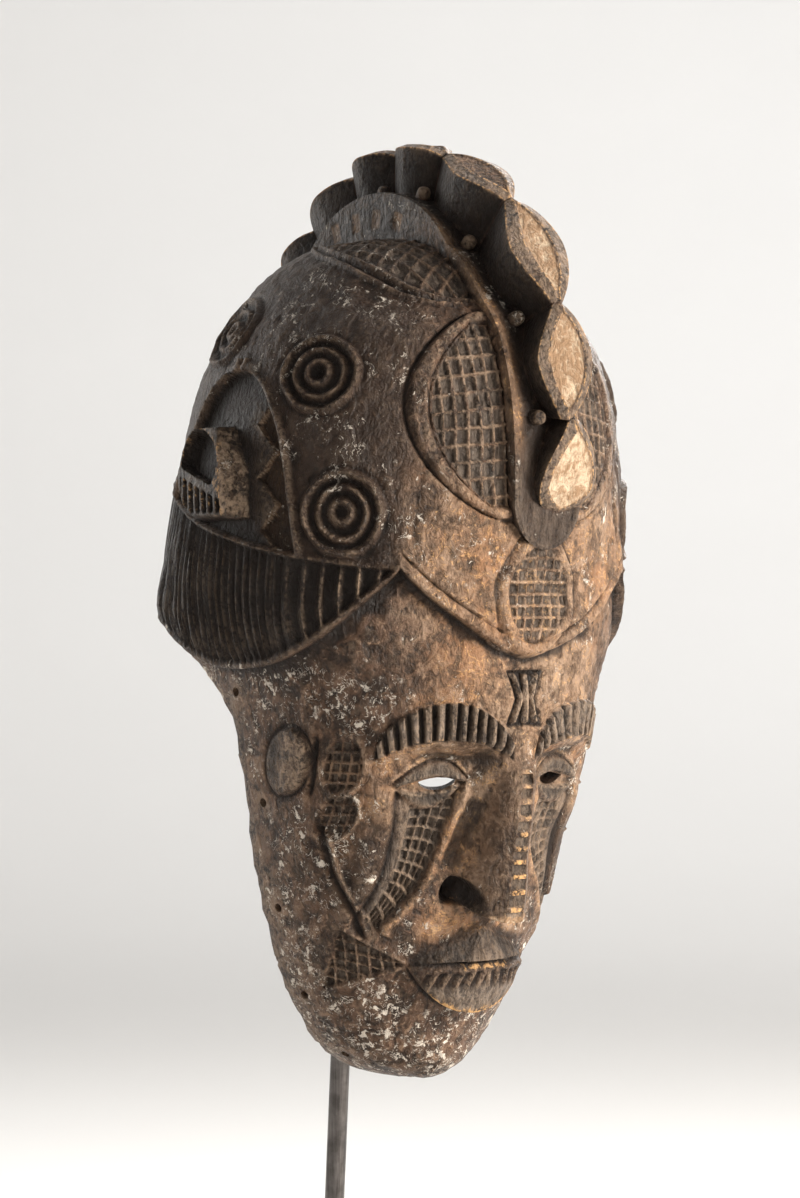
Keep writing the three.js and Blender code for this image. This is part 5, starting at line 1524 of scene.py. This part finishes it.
# The wood: dark patina, warm worn places, black stain, dusty ridges, kaolin and bare cream wood.
wood = {
    "patinaDark": (0.027, 0.0150, 0.0090, 1), "patina": (0.108, 0.059, 0.035, 1),
    "patinaPale": (0.26, 0.165, 0.104, 1), "darker": 0.92, "ground": (0.150, 0.088, 0.050, 1),
    "warm": (0.33, 0.155, 0.068, 1), "warmPale": (0.34, 0.225, 0.148, 1),
    "pit": (0.050, 0.037, 0.028, 1), "scratched": (0.175, 0.135, 0.103, 1),
    "black": (0.0100, 0.0062, 0.0042, 1), "dusty": (0.32, 0.225, 0.150, 1), "gold": (0.62, 0.35, 0.14, 1),
    "kaolin": (0.72, 0.64, 0.54, 1), "cream": (0.50, 0.385, 0.265, 1), "creamWorn": (0.27, 0.165, 0.092, 1),
    "roughness": 0.31, "specular": 0.22, "bump": 0.95, "bumpHeight": 0.0032,
}
woodNoises = {  # scale, detail, roughness, distortion and stretch upward
    "broad": (18, 4, 0.6, 0.0, 1), "blotch": (75, 6, 0.65, 0.4, 1), "crust": (175, 6, 0.62, 1.0, 0.7),
    "crumbs": (430, 4, 0.65, 0.5, 1), "strokes": (190, 3, 0.6, 0.5, 0.35), "grain": (420, 4, 0.6, 0.0, 0.14),
    "fine": (1100, 2, 0.5, 0.0, 1), "veins": (85, 4, 0.6, 1.4, 1), "curls": (150, 3, 0.55, 1.8, 1),
    "gaps": (240, 2, 0.5, 0.0, 1), "patches": (46, 5, 0.7, 0.0, 1), "flakes": (170, 6, 0.70, 0.35, 1),
    "flecks": (270, 4, 0.65, 0.8, 0.7),
}
woodSteps = {  # the values at which a layer starts and at which it is full
    "patina": (0.42, 0.58), "paleTops": (0.54, 0.63), "warm": (0.44, 0.55), "warmPale": (0.44, 0.58),
    "ground": (0.30, 0.42), "scratched": (0.42, 0.62), "stain": (0.40, 0.85), "dust": (0.42, 0.58),
    "gold": (0.62, 0.84), "vein": (0.006, 0.020), "veinGaps": (0.50, 0.56), "rubbed": (0.615, 0.66),
    "onWarm": (0.2, 0.8), "hollow": (0.08, 0.85), "crustPits": (0.36, 0.44), "curl": (0.006, 0.022),
    "curlGaps": (0.47, 0.54), "gathered": (0.62, 0.72), "flakes": (0.575, 0.605), "sparse": (0.50, 0.66),
    "flecks": (0.665, 0.70), "onKaolin": (0.01, 0.12), "creamWorn": (0.44, 0.60), "onCream": (0.02, 0.3),
    "bare": (0.55, 0.85),
}


def makeWood():
    material, tree, shader, coords = newMaterial("carved_wood")

    def pattern(name):
        scale, detail, roughness, distortion, upward = woodNoises[name]
        vector = coords if upward == 1 else stretched(tree, coords, upward)
        return noise(tree, vector, scale, detail, roughness, distortion)

    def step(value, name):
        return stepped(tree, value, *woodSteps[name])

    def worn(factor, by, name):
        return times(tree, factor, step(by, name))

    def less(value, amount):
        return calculate(tree, "SUBTRACT", value, amount)

    def larger(first, second):
        return calculate(tree, "MAXIMUM", first, second)

    def added(*parts):
        total = parts[0]
        for part in parts[1:]:
            total = calculate(tree, "ADD", total, part)
        return total

    def blended(*shares):
        return added(*[times(tree, value, share) for value, share in shares])

    def outlined(name, stepName):  # a thin line where a pattern passes its middle
        fromMiddle = calculate(tree, "ABSOLUTE", less(pattern(name), 0.5))
        return less(1.0, step(fromMiddle, stepName))

    broad, blotch, crust, crumbs = pattern("broad"), pattern("blotch"), pattern("crust"), pattern("crumbs")
    strokes, grain, fine = pattern("strokes"), pattern("grain"), pattern("fine")
    # Patina: pale on the crust's tops, dark in its pits, darker over the hair.
    tone = blended((blotch, 0.45), (crust, 0.55))
    colour = mixColour(tree, step(tone, "patina"), wood["patinaDark"], wood["patina"])
    dark = paintOf(tree, "dark")
    colour = mixColour(tree, times(tree, dark, wood["darker"]), colour, wood["patinaDark"])
    paleTops = worn(less(0.75, times(tree, dark, 0.58)), blended((crust, 0.6), (crumbs, 0.4)), "paleTops")
    colour = mixColour(tree, paleTops, colour, wood["patinaPale"])
    # Warm worn places, over a ground that is paler than the patina.
    warm = paintOf(tree, "warm")
    warmth = worn(warm, blended((blotch, 0.45), (crust, 0.35), (crumbs, 0.2)), "warm")
    warmTone = step(blended((broad, 0.6), (crust, 0.4)), "warmPale")
    warmColour = mixColour(tree, warmTone, wood["warm"], wood["warmPale"])
    colour = mixColour(tree, worn(times(tree, warm, 0.85), blotch, "ground"), colour, wood["ground"])
    clean = less(1.0, times(tree, dark, 0.6))
    colour = mixColour(tree, times(tree, warmth, 0.8, clean), colour, warmColour)
    # Grey scratched floors and flats, then black stain.
    pit = paintOf(tree, "pit")
    pitColour = mixColour(tree, step(grain, "scratched"), wood["pit"], wood["scratched"])
    colour = mixColour(tree, times(tree, pit, 0.9), colour, pitColour)
    stain = paintOf(tree, "stain")
    stained = worn(stain, added(stain, times(tree, blotch, 0.4), times(tree, crumbs, 0.2)), "stain")
    colour = mixColour(tree, times(tree, stained, 0.94), colour, wood["black"])
    # Ridges catch dust, and the sharpest edges are rubbed down to golden wood.
    edge = times(tree, paintOf(tree, "edge"), 0.45, clean)
    ridges = larger(paintOf(tree, "rib"), edge)
    dusting = worn(ridges, blended((crumbs, 0.6), (blotch, 0.4)), "dust")
    colour = mixColour(tree, dusting, colour, wood["dusty"])
    gold = paintOf(tree, "gold")
    golden = worn(gold, added(times(tree, gold, 0.3), crumbs), "gold")
    veins = worn(outlined("veins", "vein"), blotch, "veinGaps")
    rubbed = worn(larger(step(crumbs, "rubbed"), veins), warm, "onWarm")
    colour = mixColour(tree, larger(golden, times(tree, rubbed, 0.5)), colour, wood["gold"])
    # Painted shade: hollows, measured from the mesh, are darkened towards black. The crust's pits are black.
    shade = times(tree, step(paintOf(tree, "hollow"), "hollow"), less(0.8, times(tree, pit, 0.45)))
    colour = mixColour(tree, shade, colour, wood["black"])
    pits = less(1.0, step(blended((crust, 0.5), (crumbs, 0.5)), "crustPits"))
    pits = times(tree, pits, less(0.7, times(tree, warm, 0.25)))
    colour = mixColour(tree, pits, colour, wood["black"])
    # Kaolin clings in flakes and in thin broken outlines, gathered in patches.
    kaolin = paintOf(tree, "kaolin")
    line = worn(outlined("curls", "curl"), pattern("gaps"), "curlGaps")
    patches = added(pattern("patches"), times(tree, kaolin, 0.24))
    gathered = step(patches, "gathered")
    flakes = step(pattern("flakes"), "flakes")
    flecks = step(pattern("flecks"), "flecks")
    powder = larger(times(tree, line, gathered), times(tree, flakes, gathered))
    powder = larger(powder, times(tree, flecks, step(patches, "sparse")))
    powder = worn(powder, kaolin, "onKaolin")
    colour = mixColour(tree, times(tree, powder, 0.85), colour, wood["kaolin"])
    # Bare wood on the crest's faces.
    cream = paintOf(tree, "cream")
    fresh = less(0.16, times(tree, cream, 0.16))
    bareTone = step(added(times(tree, tone, 0.6), times(tree, crumbs, 0.4), fresh), "creamWorn")
    bareColour = mixColour(tree, bareTone, wood["cream"], wood["creamWorn"])
    bare = worn(step(cream, "onCream"), added(cream, times(tree, crumbs, 0.5)), "bare")
    colour = mixColour(tree, bare, colour, bareColour)
    tree.links.new(colour, shader.inputs["Base Color"])
    matt = larger(powder, larger(cream, gold))
    rough = added(times(tree, fine, 0.25), wood["roughness"])
    rough = calculate(tree, "ADD", rough, times(tree, matt, 0.3), clamp=True)
    tree.links.new(rough, shader.inputs["Roughness"])
    shader.inputs["Specular IOR Level"].default_value = wood["specular"]
    height = blended((crust, 0.9), (strokes, 0.4), (blotch, 0.5), (crumbs, 0.45),
                     (powder, 0.08), (grain, 0.15))
    addBump(tree, shader, height, wood["bump"], wood["bumpHeight"])
    return material


# The stand: a darkened steel rod with a domed pad, and a flat black foot.
steel = {
    "dark": (0.055, 0.048, 0.044, 1), "light": (0.16, 0.145, 0.135, 1), "roughness": 0.26, "metallic": 0.85,
    "bump": 0.12,
}
footPaint = {
    "colour": (0.030, 0.029, 0.028, 1), "worn": (0.055, 0.052, 0.050, 1), "roughness": 0.45, "metallic": 0.4,
    "bump": 0.25,
}
metalBumpHeight = 0.0002


def makeSteel():
    material, tree, shader, coords = newMaterial("darkened_steel")
    drawn = noise(tree, stretched(tree, coords, 0.03), 900, 3, 0.6)
    stain = noise(tree, coords, 60, 5, 0.65)
    mixed = calculate(tree, "ADD", times(tree, drawn, 0.4), times(tree, stain, 0.6))
    colour = mixColour(tree, stepped(tree, mixed, 0.35, 0.68), steel["dark"], steel["light"])
    tree.links.new(colour, shader.inputs["Base Color"])
    rough = calculate(tree, "ADD", times(tree, stain, 0.22), steel["roughness"])
    tree.links.new(rough, shader.inputs["Roughness"])
    shader.inputs["Metallic"].default_value = steel["metallic"]
    addBump(tree, shader, mixed, steel["bump"], metalBumpHeight)
    return material


def makeFootPaint():
    material, tree, shader, coords = newMaterial("black_foot_paint")
    grit = noise(tree, coords, 1400, 2, 0.5)
    rubbed = noise(tree, coords, 28, 5, 0.6)
    colour = mixColour(tree, stepped(tree, rubbed, 0.45, 0.75), footPaint["colour"], footPaint["worn"])
    tree.links.new(colour, shader.inputs["Base Color"])
    rough = calculate(tree, "ADD", times(tree, grit, 0.2), footPaint["roughness"])
    tree.links.new(rough, shader.inputs["Roughness"])
    shader.inputs["Metallic"].default_value = footPaint["metallic"]
    addBump(tree, shader, grit, footPaint["bump"], metalBumpHeight)
    return material


rod = {
    "radius": 5, "footW": -52.5, "footZ": -162, "topHeight": 391.5, "lean": 0.067, "turns": 64, "rings": 60,
    "padRadius": 20, "padHeight": 9, "domeRings": 14, "sharpAbove": 40,
    # radius and height of the pad's underside, from the foot of the pad
    "underPad": [(6.5, -3.4), (11, -2.2), (18.5, -0.6), (20, 0.2), (20, 1.6)],
}
foot = {
    "width": 200, "thickness": 12, "corner": 1.2, "sharpAbove": 35,
    # inset and height up the plate's edge, then radius and height of the collar on the plate
    "edge": [(1.5, 0), (0.5, 0.4), (0, 1.5), (0, 10.5), (0.5, 11.5), (1.5, 12)],
    "collar": [(0.5, -2), (16, -2), (15.6, 0.1), (13.9, 1), (12.9, 2.8), (11.4, 13.8), (10.7, 14.8),
               (9.6, 15), (0.5, 15)],
    "boreGap": 0.3, "boreTop": 60,
}


def lathe(profile, turns):  # rings of a profile of radius and height, round the upright axis
    turn = np.linspace(0, 2 * np.pi, turns, endpoint=False)
    return np.array([[(r * math.cos(a), r * math.sin(a), h) for a in turn] for r, h in profile])


def leaned(points):
    lean = math.atan(rod["lean"])
    w = points[..., 1] * math.cos(lean) + points[..., 2] * math.sin(lean)
    z = points[..., 2] * math.cos(lean) - points[..., 1] * math.sin(lean)
    return np.stack([points[..., 0], w + rod["footW"], z + rod["footZ"]], -1)


def buildRod(material):
    length = (rod["topHeight"] - rod["footZ"]) / math.cos(math.atan(rod["lean"]))
    radius, padRadius, padHeight = rod["radius"], rod["padRadius"], rod["padHeight"]
    padFoot = length - padHeight
    profile = [(0.2, 0), (radius - 0.4, 0), (radius, 0.4)]
    profile += [(radius, height) for height in np.linspace(4, padFoot - 5, rod["rings"])]
    profile += [(r, padFoot + height) for r, height in rod["underPad"]]
    for share in np.linspace(0.06, 1, rod["domeRings"])[:-1]:
        r = padRadius * (1 - share) - 0.3
        profile.append((max(r, 0.2), padFoot + 2 + (padHeight - 2) * (1 - (r / padRadius) ** 2)))
    rings = leaned(lathe(profile, rod["turns"]))
    return finished(ringPiece("rod_and_pad", rings), rod["sharpAbove"], material)


def squareRing(half, corner, height):  # a square of points with rounded corners
    ring = []
    for start in np.arange(4) * math.pi / 2:
        across = math.copysign(half - corner, math.cos(start + 0.5))
        along = math.copysign(half - corner, math.sin(start + 0.5))
        for a in start + np.linspace(0, math.pi / 2, 6):
            ring.append((across + corner * math.cos(a), along + corner * math.sin(a), height))
    return ring


def buildFoot(material):
    half, turns = foot["width"] / 2, rod["turns"]
    rings = np.array([squareRing(half - inset, foot["corner"], height - chinHeight)
                      for inset, height in foot["edge"]])
    collarRings = lathe(foot["collar"], turns) + [0, rod["footW"] + 1, foot["thickness"] - chinHeight]
    piece = joined(ringPiece("flat_foot", rings), ringPiece("collar", collarRings), "UNION")
    boreRadius = rod["radius"] + foot["boreGap"]
    boreRings = leaned(lathe([(boreRadius, -foot["boreGap"]), (boreRadius, foot["boreTop"])], turns))
    piece = joined(piece, ringPiece("bore", boreRings), "DIFFERENCE")
    return finished(piece, foot["sharpAbove"], material)


# Camera, lights and the pale surroundings.
view = {"azimuth": -38, "height": 0.4065, "distance": 1.414, "lens": 85, "sensor": 36, "aside": 0.005}
lights = {  # azimuth from the camera, elevation, watts, size and distance in metres, spread, warmth
    "key": (66, 10, 60, 0.5, 1.7, 180, (1.0, 0.95, 0.89)),
    "fill": (-50, 14, 2, 1.4, 2.0, 180, (0.97, 0.98, 1.0)),
    "crown": (125, 50, 3.2, 0.9, 1.8, 60, (1.0, 0.98, 0.95)),
    "back": (160, 22, 2.6, 1.0, 2.2, 50, (1.0, 0.98, 0.96)),
    "rear": (-122, 14, 4.5, 1.4, 2.0, 70, (1.0, 0.99, 0.97)),
}
lightsAim = 0.42  # height of the point that the lights above look at
wallLight = {  # stands behind the mask and lights the wall
    "reach": 1.2, "aside": 0.9, "height": 2.4, "aimHeight": 0.9, "watts": 20, "size": 1.6, "spread": 125,
}
surroundings = {
    "radius": 4.2, "curve": 2.6, "height": 5.5, "turns": 96, "tone": (0.84, 0.836, 0.828, 1), "mottle": 0.97,
    "roughness": 0.9, "glow": 0.5, "glowTint": (1.0, 0.99, 0.98, 1),
}


def direction(azimuth, elevation):
    a, e = math.radians(azimuth), math.radians(elevation)
    return Vector((math.sin(a) * math.cos(e), -math.cos(a) * math.cos(e), math.sin(e)))


def makeCamera():
    azimuth = math.radians(view["azimuth"])
    right = Vector((math.cos(azimuth), math.sin(azimuth), 0))
    back = direction(view["azimuth"], 0)
    camera = addObject("camera", bpy.data.cameras.new("camera"))
    camera.data.lens = view["lens"]
    camera.data.sensor_width = view["sensor"]
    camera.data.sensor_fit = "AUTO"
    camera.data.clip_end = 40
    camera.location = right * view["aside"] + Vector((0, 0, view["height"])) + back * view["distance"]
    camera.rotation_euler = back.to_track_quat("Z", "Y").to_euler()
    bpy.context.scene.camera = camera


def addLamp(name, watts, size, spread, place, toLamp):
    lamp = bpy.data.lights.new(name, "AREA")
    lamp.energy, lamp.size, lamp.spread = watts, size, math.radians(spread)
    holder = addObject(name, lamp)
    holder.location = place
    holder.rotation_euler = toLamp.to_track_quat("Z", "Y").to_euler()
    return lamp


def makeLights():
    for name, (azimuth, elevation, watts, size, distance, spread, tint) in lights.items():
        toLamp = direction(view["azimuth"] + azimuth, elevation)
        place = Vector((0, 0, lightsAim)) + toLamp * distance
        addLamp(name, watts, size, spread, place, toLamp).color = tint
    behind = -direction(view["azimuth"], 0)
    aside = Vector((0, 0, 1)).cross(-behind) * wallLight["aside"]
    place = behind * wallLight["reach"] + aside + Vector((0, 0, wallLight["height"]))
    aim = behind * surroundings["radius"] + aside / 2 - place + Vector((0, 0, wallLight["aimHeight"]))
    addLamp("wall", wallLight["watts"], wallLight["size"], wallLight["spread"], place, -aim)
    world = bpy.data.worlds.new("studio")
    world.use_nodes = True
    world.node_tree.nodes["Background"].inputs["Color"].default_value = surroundings["glowTint"]
    world.node_tree.nodes["Background"].inputs["Strength"].default_value = surroundings["glow"]
    bpy.context.scene.world = world
    bpy.context.scene.view_settings.view_transform = "Standard"


def makeSurroundings():  # a pale floor that sweeps up into a pale wall all round
    radius, curve, turns = surroundings["radius"], surroundings["curve"], surroundings["turns"]
    profile = [(0.02, 0), (0.5, 0), (radius - curve, 0)]
    for step in np.linspace(0, math.pi / 2, 14)[1:]:
        profile.append((radius - curve + curve * math.sin(step), curve - curve * math.cos(step)))
    profile.append((radius, surroundings["height"]))
    rings = lathe(profile, turns)
    triangles = ringStrip(rings, closedEnds=False)[:, ::-1]
    centre = np.stack([np.zeros(turns - 2), np.arange(1, turns - 1), np.arange(2, turns)], -1).astype(int)
    sweep = makePiece("floor_sweep", rings.reshape(-1, 3), np.concatenate([triangles, centre]))
    sweep.data.shade_smooth()
    material, tree, shader, coords = newMaterial("pale_floor")
    mottle = noise(tree, coords, 3, 3, 0.5)
    tone = surroundings["tone"]
    slightly = tuple(surroundings["mottle"] * channel for channel in tone[:3]) + (1,)
    tree.links.new(mixColour(tree, mottle, tone, slightly), shader.inputs["Base Color"])
    shader.inputs["Roughness"].default_value = surroundings["roughness"]
    shader.inputs["Specular IOR Level"].default_value = 0
    sweep.data.materials.append(material)


makeCamera()
makeLights()
makeSurroundings()
print("stage 0: camera, lights and floor")

woodMaterial = makeWood()
mask = buildMask(woodMaterial)
mask.name = "carved_mask"
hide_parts("mask")
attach(mask, "root")

rodPiece = buildRod(makeSteel())
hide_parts("stand_rod")
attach(rodPiece, "root")

footPiece = buildFoot(makeFootPaint())
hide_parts("stand_foot")
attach(footPiece, "root")
for label, piece in (("mask", mask), ("rod", rodPiece), ("foot", footPiece)):
    print("stage 4:", label, len(piece.data.polygons))
